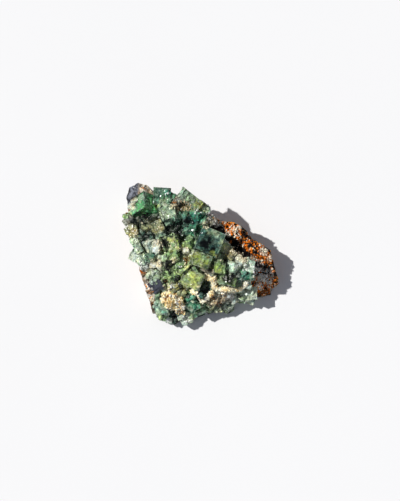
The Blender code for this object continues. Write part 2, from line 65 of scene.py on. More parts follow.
ROCK_HEIGHT = 20.5
CRUST_THICKNESS = 3.2
FRONT_FALL, FRONT_START, FRONT_WIDTH = 10.5, -4.0, 32.0
LIP_FALL, LIP_START, LIP_WIDTH = 7.0, 22.0, 9.0
LEAST_HEIGHT = 3.2
FLANK_FALL, FLANK_WIDTH, FLANK_BACK, FLANK_DEPTH = 8.5, 15.0, 12.0, 24.0
RIM_ROUNDING = 2.0
BASE_INSET = 0.86
CRUST_RIM_FALL = 2.2
FLANK_START = (6.0, 20.0)
FLANK_FACING = (0.874, 0.485)
KNOB_CENTRE = (-34.5, 34.5)
KNOB_HEIGHT, KNOB_RADIUS = 3.0, 6.0
TAIL_CENTRE = (27.0, -21.0)
TAIL_DEPTH, TAIL_RADIUS = 4.6, 8.0
# Where the knob has its own colour, and where its dark slate begins
KNOB_LOOK_CENTRE, KNOB_LOOK_RADIUS = (-34.5, 34.0), 9.5
SLATE_EDGE = (-34.4, 33.0)
PALE_SPECK = np.array((0.62, 0.56, 0.46))
# Noise of the outlines in millimetres, and the mean radius that makes it a share of the way out
ROCK_UNEVEN, CRUST_UNEVEN, MEAN_RADIUS = 0.35, 0.5, 30.0
# Painted shade at a crystal's foot: how dark it is and how far up it lightens; and how wide the
# rim is and how much higher it counts
FOOT_DARK, FOOT_RISE, RIM_WIDTH, RIM_LIFT = 0.16, 3.2, 7.0, 3.0
# Where rays start that look for the ground
RAY_HEIGHT = 80.0

# Outlines seen from above, anticlockwise
ROCK_OUTLINE = (
    (43.1, -16.4), (42.2, -10.0), (40.5, -5.0), (38.6, 2.4), (33.8, 5.8), (28.4, 9.0), (24.3, 14.8),
    (18.5, 18.0), (11.3, 19.0), (6.4, 21.4), (1.0, 25.0), (-6.0, 30.0), (-14.0, 31.5), (-24.0, 32.0),
    (-26.4, 35.6), (-29.5, 38.4), (-35.4, 39.5), (-39.8, 36.4), (-41.0, 31.0), (-40.0, 24.0),
    (-38.0, 16.0), (-36.0, 6.0), (-34.6, -3.0), (-33.3, -9.0), (-29.9, -20.5), (-28.5, -27.2),
    (-26.3, -32.8), (-18.0, -34.6), (-8.0, -35.0), (0.0, -30.0), (10.0, -28.4), (22.0, -24.4),
    (31.0, -23.9), (39.2, -22.4), (39.6, -19.2),
)
CRUST_OUTLINE = (
    (28.6, -21.8), (28.0, -14.0), (28.8, -6.6), (26.4, -2.8), (21.8, -1.4), (17.0, 3.2),
    (12.4, 8.0), (8.4, 12.0), (5.8, 16.4), (4.0, 21.0), (0.8, 26.4), (-8.5, 32.5), (-14.5, 31.5),
    (-23.5, 33.0), (-30.0, 31.0), (-35.5, 27.0), (-39.0, 21.0), (-38.4, 14.0), (-36.6, 6.0),
    (-36.0, -1.0), (-31.0, -8.0), (-27.4, -15.0), (-25.0, -21.0), (-25.0, -29.0), (-23.5, -33.0),
    (-12.0, -36.0), (-6.0, -34.5), (-1.5, -31.0), (10.0, -29.8), (18.0, -26.4), (27.5, -24.6),
)
# Ribs and mounds of the cream druse: width, height above the crust, then the points of its path
DRUSE_PATCH = (
    (3.4, 0.9, ((-21.6, -21.4), (-17.0, -21.6), (-12.5, -22.6))),
    (4.6, 0.9, ((-22.0, -23.8), (-16.0, -24.6), (-9.6, -24.4))),
    (4.4, 0.9, ((-19.4, -26.6), (-14.0, -28.2), (-8.6, -27.6))),
    (3.6, 0.9, ((-13.8, -30.4), (-9.4, -30.6))),
    (2.2, 0.9, ((-10.4, -32.2), (-8.8, -31.2))),
)
DRUSE_VEIN = (
    (3.8, 1.2, ((1.8, -11.4), (5.0, -12.0), (8.8, -12.8))),
    (3.4, 1.2, ((7.4, -12.6), (7.3, -16.0), (7.6, -19.0))),
    (2.6, 1.3, ((7.6, -18.8), (14.0, -18.9), (21.0, -19.4))),
    (3.2, 0.9, ((20.6, -19.2), (23.4, -17.0), (25.6, -14.4))),
    (2.8, 2.6, ((7.0, -19.9), (3.8, -22.9), (0.0, -26.2))),
    (3.2, 0.9, ((-5.6, -19.4), (-3.2, -20.4), (-1.4, -20.6))),
    (1.2, 1.2, ((-1.8, -22.0), (-0.2, -25.0))),
)

# How a cube stands before it is turned: on a face, on an edge or on a corner
FLAT, EDGE_UP, CORNER_UP = "flat", "edge up", "corner up"

# Cubes and blocks of the crust. In each row: tone, x, y, edge or three sides, height above the
# crust, habit, heading, lean, lean towards
CUBES = (
    # upper left: the large emerald cube on its corner, and the teal cube beside it
    ("emerald", -30.7, 26.9, 10.8, 9.6, CORNER_UP, 95, 5, 290),
    ("teal", -21.3, 31.6, 9.8, 3.6, FLAT, -3, 8, 80),
    ("mint", -20.0, 26.4, 6.6, 4.8, FLAT, -28, 20, 250),
    ("teal", -16.8, 31.6, 5.2, 3.0, FLAT, -32, 14, 60),
    ("milk", -35.2, 29.0, 4.6, 2.4, EDGE_UP, 34, 16, 200),
    # upper right: the pale block whose corner makes the top of the outline
    ("sea", -5.8, 30.3, (13.4, 6.6, 5.2), 10.4, FLAT, -38, 18, 322),
    ("spring", -1.4, 26.8, (8.0, 6.8, 8.0), 5.0, FLAT, -36, 14, 320),
    ("smoky", -12.2, 30.0, (4.4, 5.2, 6.0), 5.6, FLAT, -38, 14, 230),
    ("mint", 2.4, 24.8, 4.6, 3.0, FLAT, 18, 18, 20),
    ("olive", -14.4, 27.0, 4.8, 4.2, EDGE_UP, 40, 10, 250),
    # dark teal knot under it
    ("aqua", -2.0, 21.6, 7.2, 7.4, CORNER_UP, 30, 8, 40),
    ("aqua", 1.2, 18.2, 6.4, 6.4, CORNER_UP, 75, 12, 330),
    ("deep", -6.4, 19.0, 5.6, 4.8, FLAT, 22, 18, 200),
    ("teal", -8.8, 22.0, 5.4, 5.0, EDGE_UP, -20, 10, 120),
    ("aqua", -4.6, 14.6, 5.0, 5.2, FLAT, -10, 20, 120),
    ("teal", -8.4, 12.8, 4.2, 4.4, EDGE_UP, 30, 14, 60),
    ("smoky", 5.6, 18.6, 4.8, 4.0, FLAT, 35, 20, 40),
    # mint knobs in the upper middle
    ("sea", -17.4, 22.6, 8.0, 6.2, FLAT, 15, 14, 100),
    ("teal", -14.4, 19.4, 6.0, 6.4, CORNER_UP, 10, 8, 10),
    ("sea", -21.0, 22.8, 5.6, 4.6, EDGE_UP, -25, 8, 180),
    # dark left corner
    ("smoky", -38.7, 18.4, (6.2, 5.4, 5.6), 3.0, FLAT, 38, 16, 190),
    ("leaf", -40.6, 21.0, 3.6, 1.8, FLAT, 20, 12, 160),
    ("smoky", -36.0, 17.2, 5.4, 3.4, CORNER_UP, 55, 15, 240),
    ("smoky", -33.0, 19.2, 5.0, 2.8, EDGE_UP, -35, 20, 260),
    # olive blocks on the left
    ("olive", -23.3, 16.2, 7.0, 5.8, FLAT, 24, 14, 250),
    ("olive", -30.2, 14.8, 5.6, 4.4, CORNER_UP, 5, 12, 200),
    ("olive", -36.7, 12.8, 6.2, 3.8, FLAT, 28, 20, 170),
    ("teal", -32.6, 11.0, 4.8, 2.4, EDGE_UP, 62, 15, 180),
    ("teal", -29.4, 10.2, (6.4, 4.0, 5.0), 3.2, FLAT, 8, 14, 260),
    ("sea", -22.0, 11.6, (5.2, 2.6, 4.4), 4.2, FLAT, 20, 16, 290),
    # pale mint slabs along the left edge
    ("mint", -34.5, 5.6, (9.8, 4.6, 6.0), 4.6, FLAT, -63, 14, 190),
    ("frosted", -35.4, -0.2, (6.2, 6.0, 6.0), 3.6, FLAT, -28, 18, 230),
    ("frosted", -28.4, 5.2, 6.8, 4.6, CORNER_UP, 42, 10, 150),
    ("mint", -31.6, -2.2, 5.6, 3.4, EDGE_UP, -60, 12, 220),
    ("teal", -27.8, -0.8, 5.4, 3.4, FLAT, 12, 18, 280),
    ("milk", -23.4, 4.8, (4.4, 7.6, 6.0), 4.2, FLAT, -10, 14, 200),
    ("leaf", -20.9, 5.4, (7.8, 1.2, 6.0), 5.0, FLAT, -65, 6, 20),
    ("milk", -24.6, -4.8, (6.6, 3.4, 5.0), 3.4, FLAT, 6, 14, 260),
    # yellow-green block in the middle left
    ("spring", -15.1, 6.7, (7.4, 9.2, 9.0), 6.2, FLAT, 6, 9, 260),
    ("leaf", -6.7, 6.4, 6.6, 6.0, CORNER_UP, 60, 8, 30),
    ("leaf", -14.8, -0.6, 6.4, 4.6, FLAT, 24, 14, 230),
    ("milk", -7.8, 2.2, 3.8, 5.2, EDGE_UP, 20, 14, 250),
    # the large dark cube in the middle
    ("deep", 4.6, 6.8, 13.6, 9.4, FLAT, -22, 9, 50),
    ("milk", 13.0, 5.2, 4.8, 4.0, FLAT, -46, 16, 50),
    # yellow-green steps in front of it
    ("spring", 0.4, -1.8, (11.2, 8.4, 9.0), 7.0, FLAT, -21, 12, 262),
    ("spring", -8.0, -7.0, (7.8, 1.4, 6.0), 5.8, FLAT, 40, 6, 300),
    ("leaf", -10.8, -4.6, (6.0, 5.0, 6.0), 3.6, FLAT, 40, 16, 120),
    ("spring", -3.2, -7.4, (2.4, 4.0, 5.0), 5.0, FLAT, 30, 12, 260),
    ("smoky", 4.4, -7.6, (8.0, 4.4, 6.0), 4.6, FLAT, -30, 18, 240),
    ("leaf", 10.8, -6.4, 6.4, 5.6, FLAT, -8, 14, 240),
    ("leaf", 9.8, -1.6, 4.6, 5.2, FLAT, 4, 14, 300),
    # pale block in front of the middle, and its neighbours
    ("spring", -4.3, -12.3, (11.6, 10.0, 10.0), 7.0, FLAT, -22, 12, 250),
    ("leaf", -16.2, -12.4, 4.8, 4.6, CORNER_UP, 35, 12, 210),
    ("olive", -13.6, -17.6, 4.2, 3.4, EDGE_UP, 40, 10, 240),
    ("mint", -25.2, -9.8, 5.6, 4.0, CORNER_UP, 12, 10, 180),
    ("leaf", -19.6, -9.6, 5.4, 2.6, FLAT, 12, 18, 240),
    ("milk", -30.4, -6.4, 4.6, 2.2, EDGE_UP, 20, 16, 200),
    # right shoulder, pale and frosted
    ("mint", 18.0, -6.6, 6.8, 6.0, CORNER_UP, 12, 8, 60),
    ("olive", 16.0, 0.6, 5.6, 4.0, FLAT, -44, 14, 40),
    ("milk", 21.0, -3.0, (5.6, 4.2, 5.0), 2.8, FLAT, -40, 14, 40),
    ("mint", 26.2, -6.2, (6.0, 6.8, 7.0), 3.6, FLAT, -12, 12, 30),
    ("aqua", 24.6, -11.2, (9.4, 4.4, 6.0), 3.6, FLAT, -4, 12, 300),
    ("moss", 17.2, -13.6, 6.6, 3.4, FLAT, -14, 12, 200),
    # lower right, down to the pale tail
    ("mint", 27.8, -20.0, (5.6, 10.0, 7.0), 2.2, FLAT, 5, 16, 350),
    ("mint", 22.6, -23.0, 5.8, 2.6, CORNER_UP, 65, 12, 280),
    ("mint", 26.6, -25.0, (6.8, 3.6, 5.0), 1.2, FLAT, -22, 12, 280),
    ("milk", 18.4, -24.4, 4.6, 3.4, FLAT, 28, 16, 270),
    ("mint", 15.2, -28.6, 5.6, 2.0, CORNER_UP, 25, 12, 290),
    # lower edge
    ("milk", 12.4, -23.4, 4.6, 3.2, EDGE_UP, 30, 12, 250),
    ("smoky", 7.4, -24.6, 4.8, 3.6, FLAT, 55, 16, 250),
    ("smoky", 9.6, -29.4, 4.8, 1.4, FLAT, 12, 16, 260),
    ("teal", 4.4, -30.0, 4.6, 1.6, CORNER_UP, 88, 14, 270),
    ("aqua", -3.6, -27.2, 6.8, 4.8, FLAT, 38, 14, 240),
    ("teal", -0.4, -31.2, 4.6, 1.6, EDGE_UP, 18, 14, 280),
    ("deep", 2.6, -20.0, (9.0, 4.4, 5.0), 2.0, FLAT, 48, 8, 130),
    # lower left, under the cream patch
    ("sea", -21.6, -29.6, 6.8, 4.4, FLAT, 22, 16, 200),
    ("leaf", -21.0, -33.6, 4.8, 1.8, EDGE_UP, 68, 12, 250),
    ("deep", -14.5, -34.0, 6.2, 2.2, CORNER_UP, 30, 12, 260),
    ("frosted", -8.2, -34.9, 6.4, 1.6, FLAT, 15, 14, 290),
    ("teal", -4.6, -33.4, 4.4, 1.6, FLAT, 40, 16, 300),
    ("frosted", -17.6, -36.0, 3.4, 0.8, FLAT, -10, 12, 270),
)

# The galena cube: edge, place, height above the crust, heading and lean, then the depth of its
# steps, the rounding and unevenness of its faces, and its colour
GALENA_EDGE = 7.2
GALENA_CENTRE = (-24.0, -16.4)
GALENA_RISE = 2.4
GALENA_HEADING = -52.0
GALENA_LEAN, GALENA_TOWARDS = 12.0, 215.0
GALENA_STEP, GALENA_ROUNDING, GALENA_ETCH = 0.35, 0.12, 0.04
GALENA_TINT = np.array((0.055, 0.062, 0.085))

# Crystals that share a finish. For each: its tones, then transmission, roughness, the colour and
# density that it absorbs, and specular level. The small cubes have their own
CRYSTAL_KINDS = {
    "teal": (("emerald", "teal", "aqua", "deep"), 0.5, 0.14, (0.35, 0.80, 0.62), 45.0, 0.22),
    "yellow_green": (("spring", "leaf", "olive", "moss"), 0.38, 0.18, (0.60, 0.85, 0.40), 35.0, 0.35),
    "pale": (("mint", "sea"), 0.34, 0.22, (0.70, 0.92, 0.80), 25.0, 0.35),
    "frosted": (("frosted", "milk", "smoky"), 0.28, 0.35, (0.80, 0.90, 0.80), 25.0, 0.35),
}
SMALL_LOOKS = (0.36, 0.2, (0.60, 0.88, 0.70), 40.0)
FLUORITE_IOR = 1.434
# For each tone: how much brighter than its middle a cube's edges are, and how frosted it is
TONE_LOOKS = {
    "emerald": (0.65, 0.25), "teal": (0.75, 0.6), "aqua": (0.6, 0.5), "deep": (3.0, 0.15),
    "spring": (0.62, 0.5), "leaf": (0.65, 0.35), "olive": (0.7, 0.5), "moss": (1.4, 0.3),
    "mint": (1.15, 0.9), "sea": (0.85, 0.75), "frosted": (1.2, 1.0), "milk": (1.0, 0.9),
    "smoky": (1.6, 0.5),
}
# A painted highlight: the pale line along the edges, whose colour the pale small cubes also take; and
# the most that any tint may be
PALE_EDGE_HIGHLIGHT = np.array((0.78, 0.90, 0.72))
BRIGHTEST = 0.95

# Small cubes in the gaps: tries, edges, heights above the crust, tilt in degrees, share and gain of
# the dark ones, gains of the others and share of the pale ones
SMALL_TRIES, SMALL_EDGES, SMALL_HEIGHTS, SMALL_TILT = 8000, (0.5, 1.75), (-0.6, 1.0), 55.0
SMALL_DARK, SMALL_DARK_GAIN, SMALL_GAINS, SMALL_PALE = 0.22, 0.15, (0.5, 1.7), 0.12
# Cubes that grow on a cube: edges as shares of its shortest side, up to this side, and their gains
GROWTH_EDGES, GROWTH_SIDE, GROWTH_GAINS = (0.08, 0.22), 6.0, (0.6, 1.6)

# Druse ribs: height, root in the crust, rings for each millimetre, points in a ring
RIB_HEIGHT, RIB_ROOT, RIB_RINGS, RIB_POINTS = 1.7, 0.8, 4.0, 26
# Its blades: shortest, width and thickness as shares of the length, tilt in degrees
BLADE_LEAST, BLADE_WIDTH, BLADE_THICKNESS, BLADE_TILT = 0.35, 0.5, 0.22, 60.0
HOLLOW_BROWN = np.array((0.26, 0.11, 0.03))
# For each druse: seed, ribs, share of honey, share of hollows, longest blade
DRUSES = {
    "patch": (5, DRUSE_PATCH, 0.36, 0.38, 1.3),
    "vein": (6, DRUSE_VEIN, 0.2, 0.32, 0.9),
}

# Grains of the bare flank: tries, where they are tried, edges, tilt, share of the rock's outline
GRAIN_TRIES, GRAIN_X, GRAIN_Y = 12000, (2.0, 44.0), (-24.5, 22.0)
GRAIN_EDGES, GRAIN_TILT, GRAIN_OUTLINE_SHARE = (0.22, 0.62), 90.0, 0.975
# Their kinds share the range from 0 to 1: black, then dark rust, then rust, then cream
GRAIN_BLACK_TO, GRAIN_DARK_TO, GRAIN_CREAM_FROM = 0.22, 0.34, 0.86
GRAIN_BLACK, GRAIN_CREAM = np.array((0.01, 0.008, 0.007)), np.array((0.88, 0.80, 0.64))

# Specks and quartz points: edges, tilt, and how many stand for each one listed
SPOT_EDGES, SPOT_TILT, SPOT_FACTOR = (0.2, 0.55), 75.0, 1.4
SPOT_COLOURS = {
    "cream": (0.90, 0.80, 0.56), "white": (0.95, 0.95, 0.90), "rust": (0.30, 0.12, 0.03),
    "tan": (0.56, 0.42, 0.25), "black": (0.008, 0.010, 0.008), "olive": (0.30, 0.28, 0.08),
    "grey": (0.46, 0.45, 0.41),
}

# Stage: half the floor's side in metres; in millimetres the height of view, its centre and the
# sensor's width; where the key light comes from, and its colour
FLOOR_REACH = 3.0
VIEW_HEIGHT, VIEW_CENTRE = 275.55, (-0.33, 2.5, 20.0)
SENSOR = 36.0
KEY_FROM, KEY_COLOUR = (-0.65, 0.286, 0.77), (1.0, 0.985, 0.96)

# Patches where the crystals or the rock are darker, paler or stained, and patches of painted shade and
# painted light. In each row: kind, then x, y and radius of each place. Later rows lie over earlier
# ones
CRYSTAL_PATCHES = (
    # painted shade: near black in the gaps and hollows between the crystals
    ("painted_hollow_shade", (
        (-31.2, 20.0, 3.2), (-27.2, 20.2, 2.4), (-36.2, 18.6, 1.8), (-26.2, 35.0, 0.8),
        (-25.6, 31.6, 0.8), (-23.8, 26.6, 0.9), (-11.2, 27.6, 2.6), (-10.4, 24.4, 1.6),
        (-16.0, 25.8, 1.1), (-14.8, 17.4, 3.0), (-18.8, 13.0, 2.8), (-12.4, 13.6, 4.2),
        (-9.4, 9.6, 2.6), (-19.4, 7.0, 2.0), (-17.8, -5.0, 3.2), (-7.6, -1.8, 2.0),
        (-12.8, -12.8, 1.5), (-5.8, -7.0, 1.1), (2.6, -20.0, 2.8), (16.2, -14.6, 2.6),
        (14.4, -25.6, 1.8), (4.6, -8.0, 2.2), (13.2, -3.4, 1.4), (-37.4, 19.0, 2.2),
    )),
    ("murk", ((-30.0, 10.6, 2.4),)),
    ("dim", ((3.6, 5.0, 5.6),)),
    ("murk", ((2.2, 6.0, 3.6), (6.0, 3.6, 2.4))),
    # painted light: crystals made paler where they lie in shade
    ("pale", (
        (6.4, 13.0, 1.6), (9.2, 10.6, 1.8), (11.6, 7.4, 1.8), (-1.4, 26.8, 3.0), (2.4, 24.8, 2.0),
        (13.0, 5.0, 2.2),
    )),
    ("dim", (
        (3.4, -5.6, 1.8), (-21.6, -29.0, 2.6), (-37.0, 12.6, 1.8), (-33.4, 4.4, 2.0),
        (-35.0, 29.4, 1.6),
    )),
    ("stain", ((-8.6, -2.0, 1.8),)),
    # painted shade in the gaps
    ("painted_hollow_shade", ((-1.4, -3.6, 0.9), (2.4, -9.4, 1.6))),
    ("rose", ((15.6, -21.8, 2.4), (18.2, -24.0, 1.8), (12.4, -22.8, 1.6), (-12.4, -31.0, 1.2))),
    # painted light on crystals in shade
    ("pale", (
        (9.8, -1.6, 2.4), (27.8, -21.0, 4.0), (26.6, -25.0, 3.2), (18.4, -24.4, 2.2),
        (15.2, -28.6, 2.4), (-21.0, -33.6, 2.2), (-4.6, -33.4, 2.2),
    )),
    ("dim", ((-8.0, 2.0, 1.0), (-22.6, 23.0, 1.4), (-23.4, 33.6, 3.2))),
    ("cream", ((12.4, -23.4, 2.2),)),
    # painted light on the low crystals of the front edge, which lie in shade
    ("pale", ((9.6, -29.0, 2.4), (4.4, -30.0, 2.2), (-0.4, -31.2, 2.0))),
    ("mist", ((-19.8, 29.4, 2.4),)),
    ("cream", ((-18.2, 22.6, 1.6),)),
    ("dim", (
        (-20.4, 25.4, 2.4), (-4.6, 14.6, 2.2), (-17.6, 21.6, 2.8), (-33.0, 19.2, 2.2),
        (-22.0, 11.6, 1.8), (-32.0, 3.4, 1.6), (-24.8, -11.4, 1.8), (-11.4, -3.6, 2.4),
        (-8.4, 12.8, 2.2),
    )),
    ("murk", ((-6.2, 18.8, 2.4), (-3.4, 18.6, 1.4))),
    # painted shade in the gaps
    ("painted_hollow_shade", (
        (-21.4, 17.2, 1.0), (-33.4, 15.0, 1.4), (-24.6, 8.8, 1.0), (-14.2, -34.4, 1.8),
        (-16.4, -10.2, 1.2), (9.0, -10.4, 1.3),
    )),
    ("frost", (
        (-37.4, 26.4, 1.8), (-19.4, 27.8, 1.2), (-11.8, 29.6, 0.8), (-22.0, 12.8, 1.1),
        (-35.4, -0.4, 3.4), (-28.4, 5.0, 3.2), (-35.6, 8.4, 1.6), (-8.0, 2.6, 1.5), (17.4, -6.0, 2.7),
        (26.4, -6.2, 3.4), (28.8, -17.6, 4.6), (28.4, -25.0, 3.6), (-8.4, -36.0, 3.0),
        (18.4, -23.8, 2.4), (-25.4, -9.8, 1.6), (-3.0, 23.6, 0.9), (-20.6, -29.0, 1.2),
    )),
    # frost with painted light: near white over the low pale sheet, which lies in shade
    ("frost_and_painted_light", (
        (28.6, -18.0, 4.2), (28.8, -25.4, 3.4), (25.0, -22.0, 2.2), (18.4, -24.4, 2.0),
        (15.2, -28.6, 1.8), (24.6, -10.6, 1.2),
    )),
    ("lime", ((14.0, 4.4, 2.2),)),
    ("rose", ((8.4, -23.8, 2.6), (13.4, -22.4, 2.2), (16.6, -23.6, 1.6))),
    ("frost", ((22.6, -13.0, 1.4), (-4.6, -30.0, 1.0))),
    ("cream", (
        (-23.2, 4.8, 2.4), (-24.6, -4.6, 2.8), (2.8, 16.8, 2.4), (19.4, 1.2, 2.6), (22.6, -2.2, 2.4),
        (-15.0, 26.9, 1.5), (-14.8, -2.8, 1.4), (9.4, -22.6, 2.2), (-8.2, -4.8, 0.9),
        (-15.4, -16.4, 1.6), (-1.2, -17.0, 1.0), (0.6, -28.4, 1.4),
    )),
    ("stain", (
        (-8.0, 26.6, 2.4), (8.8, -0.6, 1.4), (16.2, 0.8, 2.4), (5.6, -25.6, 3.4), (-11.0, 4.4, 1.3),
        (4.0, -1.2, 1.2), (-36.8, 13.0, 1.8), (-9.0, -18.6, 1.3),
    )),
    ("mist", ((-31.4, 31.6, 3.6), (-17.2, 22.4, 2.4))),
    ("lime", (
        (-0.8, 26.4, 2.8), (-24.2, 27.2, 1.6), (-12.2, 7.6, 2.0), (-4.0, -13.0, 2.8),
        (-1.6, -1.8, 2.8), (3.2, -3.4, 1.8), (9.6, -7.6, 2.2), (6.8, 0.4, 1.8),
    )),
    ("cream", ((14.6, 3.4, 1.8),)),
    ("teal", ((24.6, -11.4, 2.4), (-1.4, 20.6, 3.0), (-18.0, 33.6, 2.0), (-20.6, -31.6, 1.2))),
)
ROCK_PATCHES = (
    # black patches on the flank, and painted shadow along the crust's edge where the crust shades the flank
    ("black_and_painted_shadow", (
        (9.8, 14.0, 3.0), (15.2, 9.0, 2.6), (18.2, 6.2, 2.8), (21.2, 3.4, 2.8), (24.2, 0.6, 2.6),
        (26.8, -2.2, 2.0), (25.2, 10.8, 2.3), (7.8, 20.0, 1.6), (35.2, -6.6, 2.0), (32.0, -10.6, 1.4),
        (40.6, -11.6, 1.5), (37.2, 3.4, 1.4), (27.4, 5.4, 1.0), (30.4, 1.6, 1.0), (22.6, 7.6, 1.1),
        (33.2, -22.4, 1.4),
    )),
    ("ash", (
        (9.2, 17.8, 2.2), (31.0, -6.6, 3.0), (36.6, -13.6, 3.6), (33.0, -17.0, 2.2),
        (-29.0, -17.4, 2.0), (-27.8, -23.0, 1.8),
    )),
    ("ivory", (
        (19.6, 14.6, 2.8), (15.0, 11.7, 1.6), (34.6, 2.0, 2.4), (38.6, -1.6, 1.8), (28.6, -2.2, 1.6),
        (39.4, -7.6, 1.5), (13.6, 17.8, 1.0), (-31.2, 37.0, 1.8),
    )),
    ("umber", ((35.4, -21.0, 2.8), (12.0, 18.8, 1.4), (36.6, -3.0, 1.4), (-26.6, -27.0, 1.4))),
    ("chalk", ((-38.0, 27.0, 2.2),)),
    # black specks on the knob, and a patch of painted shadow by the crust's edge
    ("black_and_painted_shadow", ((-30.6, 36.6, 0.7), (-33.2, 37.8, 0.5), (12.6, 11.6, 2.6))),
    ("ash", ((37.2, -9.0, 1.8), (33.4, -12.4, 2.0))),
    ("black_and_painted_shadow", ((34.2, -9.6, 1.2), (29.6, -4.6, 1.4))),
)
# What a patch does: its colour, how much of it shows, its frost or share of granules, how softly
# it ends
PATCH_LOOKS = {
    # painted shade in gaps and hollows
    "painted_hollow_shade": ((0.008, 0.012, 0.009), 0.95, 0.0, 0.8),
    "murk": ((0.003, 0.006, 0.008), 1.0, 0.0, 0.9),
    "dim": ((0.05, 0.12, 0.09), 0.55, 0.1, 1.1),
    "frost": ((0.82, 0.90, 0.76), 0.62, 1.0, 0.9),
    # frost with painted light
    "frost_and_painted_light": ((0.90, 1.00, 0.86), 0.92, 1.0, 1.0),
    "rose": ((0.94, 0.86, 0.78), 0.85, 0.7, 0.9),
    "mist": ((0.44, 0.62, 0.42), 0.75, 0.8, 1.0),
    # painted light on shaded crystals
    "pale": ((0.64, 0.80, 0.54), 0.7, 0.4, 1.1),
    "cream": ((0.90, 0.79, 0.52), 0.70, 0.5, 0.8),
    "stain": ((0.36, 0.22, 0.05), 0.62, 0.1, 0.8),
    "lime": ((0.50, 0.64, 0.10), 0.66, 0.3, 0.9),
    "teal": ((0.06, 0.44, 0.33), 0.6, 0.2, 0.9),
    # black spots, and painted shadow by the crust
    "black_and_painted_shadow": ((0.003, 0.002, 0.002), 1.0, 0.0, 0.7),
    "ash": ((0.95, 0.90, 0.80), 0.88, 0.4, 0.7),
    "ivory": ((0.92, 0.83, 0.66), 0.8, 0.5, 0.7),
    "umber": ((0.24, 0.09, 0.02), 0.70, 0.6, 0.8),
    "chalk": ((0.72, 0.80, 0.66), 0.80, 0.0, 0.8),
}
# How many of its radii a patch reaches
PATCH_REACH = 2.2

# Small things at their places between the cubes. In each row: what, x, y, radius, how many
SPOTS = (
    ("cream", -27.4, 35.2, 1.0, 4), ("white", -36.3, 36.9, 0.5, 2), ("cream", -37.6, 26.4, 1.8, 16),
    ("rust", -40.7, 23.4, 0.5, 5), ("cream", -32.0, 17.8, 0.8, 5), ("white", -17.8, 34.0, 0.8, 5),
    ("cream", -15.0, 27.0, 1.8, 12), ("rust", -14.2, 28.6, 1.3, 10), ("tan", -7.8, 26.6, 2.6, 26),
    ("tan", -9.8, 29.0, 1.4, 10), ("olive", -0.4, 26.0, 3.2, 14), ("white", -1.6, 23.8, 2.2, 12),
    ("cream", 3.0, 16.6, 2.4, 22), ("grey", 6.4, 19.0, 3.4, 26), ("rust", 8.4, 20.2, 1.6, 12),
    ("white", 4.2, 22.2, 1.4, 8), ("white", -40.0, 15.6, 0.8, 4), ("cream", -36.7, 12.6, 2.4, 14),
    ("cream", -23.4, 15.6, 2.4, 12), ("black", -29.8, 19.6, 3.2, 24), ("cream", -23.2, 4.6, 3.0, 26),
    ("cream", -24.6, -4.6, 3.4, 26), ("white", -33.0, -5.6, 2.4, 14), ("black", -19.2, 6.0, 2.4, 14),
    ("black", -13.6, 12.6, 4.2, 34), ("black", -10.8, 8.0, 1.8, 12), ("white", -7.8, 2.6, 1.6, 8),
    ("cream", -10.8, 4.0, 1.1, 6), ("cream", -15.2, 5.6, 2.4, 9), ("rust", -7.6, -2.4, 1.6, 9),
    ("cream", -14.6, -2.6, 1.8, 14), ("black", -17.6, -5.2, 2.8, 26), ("cream", -8.6, -5.2, 1.2, 9),
    ("rust", -8.2, -4.6, 0.9, 5), ("white", -10.9, -6.8, 0.8, 6), ("black", -5.8, -7.4, 1.2, 8),
    ("rust", -31.0, -9.4, 0.6, 6), ("rust", -19.4, -14.6, 1.6, 9), ("white", -16.0, -16.6, 1.2, 8),
    ("cream", -18.6, -17.6, 2.0, 16), ("black", -12.8, -12.8, 1.8, 14), ("olive", -13.4, -18.0, 2.0, 12),
    ("black", -20.0, -14.8, 1.4, 8), ("white", 24.0, -7.0, 2.0, 10), ("cream", 18.6, 2.4, 2.4, 22),
    ("cream", 21.6, -0.6, 2.6, 26), ("cream", 24.2, -2.8, 1.8, 14), ("white", 30.2, -8.6, 2.4, 22),
    ("white", 18.4, -6.2, 2.2, 12), ("grey", 14.6, -12.6, 2.4, 12), ("tan", 9.0, -24.4, 3.2, 34),
    ("tan", 12.4, -21.8, 2.2, 20), ("white", 17.8, -23.2, 2.2, 18), ("cream", 5.0, -26.4, 2.6, 24),
    ("rust", 9.8, -27.4, 1.8, 12), ("rust", 6.6, -23.6, 1.4, 8), ("white", -8.2, -35.6, 2.6, 16),
    ("white", -17.6, -36.2, 1.8, 10), ("rust", -27.4, -20.2, 1.6, 12), ("grey", -26.8, -18.6, 0.5, 6),
    ("cream", -26.8, -25.0, 1.6, 14), ("rust", -10.2, -31.2, 1.6, 14), ("black", 13.0, -3.4, 1.4, 8),
    ("cream", 11.6, -3.4, 1.2, 5), ("black", 16.8, -10.4, 1.8, 10), ("cream", 30.8, -12.8, 2.6, 18),
    ("black", 32.0, -5.4, 2.2, 16), ("white", 34.8, -9.6, 2.6, 30), ("black", 36.4, -8.2, 2.2, 20),
    ("grey", 33.4, -12.8, 2.4, 20), ("white", 36.0, -13.4, 1.8, 14), ("rust", 37.0, -11.0, 2.0, 18),
)


# Shapes in numpy, millimetres

def smooth(t):
    """0 to 1, easing in and out: t squared times 3 minus 2 t."""
    t = np.clip(t, 0.0, 1.0)
    return t * t * (3.0 - 2.0 * t)


def lumps(x, y):
    """Broad unevenness of a broken rock face: three crossed sine waves."""
    return (
        0.8 * np.sin(0.23 * x + 1.1) * np.cos(0.27 * y - 0.4)
        + 0.5 * np.sin(0.47 * x - 0.31 * y + 2.0)
        + 0.3 * np.cos(0.71 * y + 0.38 * x)
    )


def past_flank(x, y):
    """How far a place lies out along the bare right flank."""
    return (x - FLANK_START[0]) * FLANK_FACING[0] + (y - FLANK_START[1]) * FLANK_FACING[1]


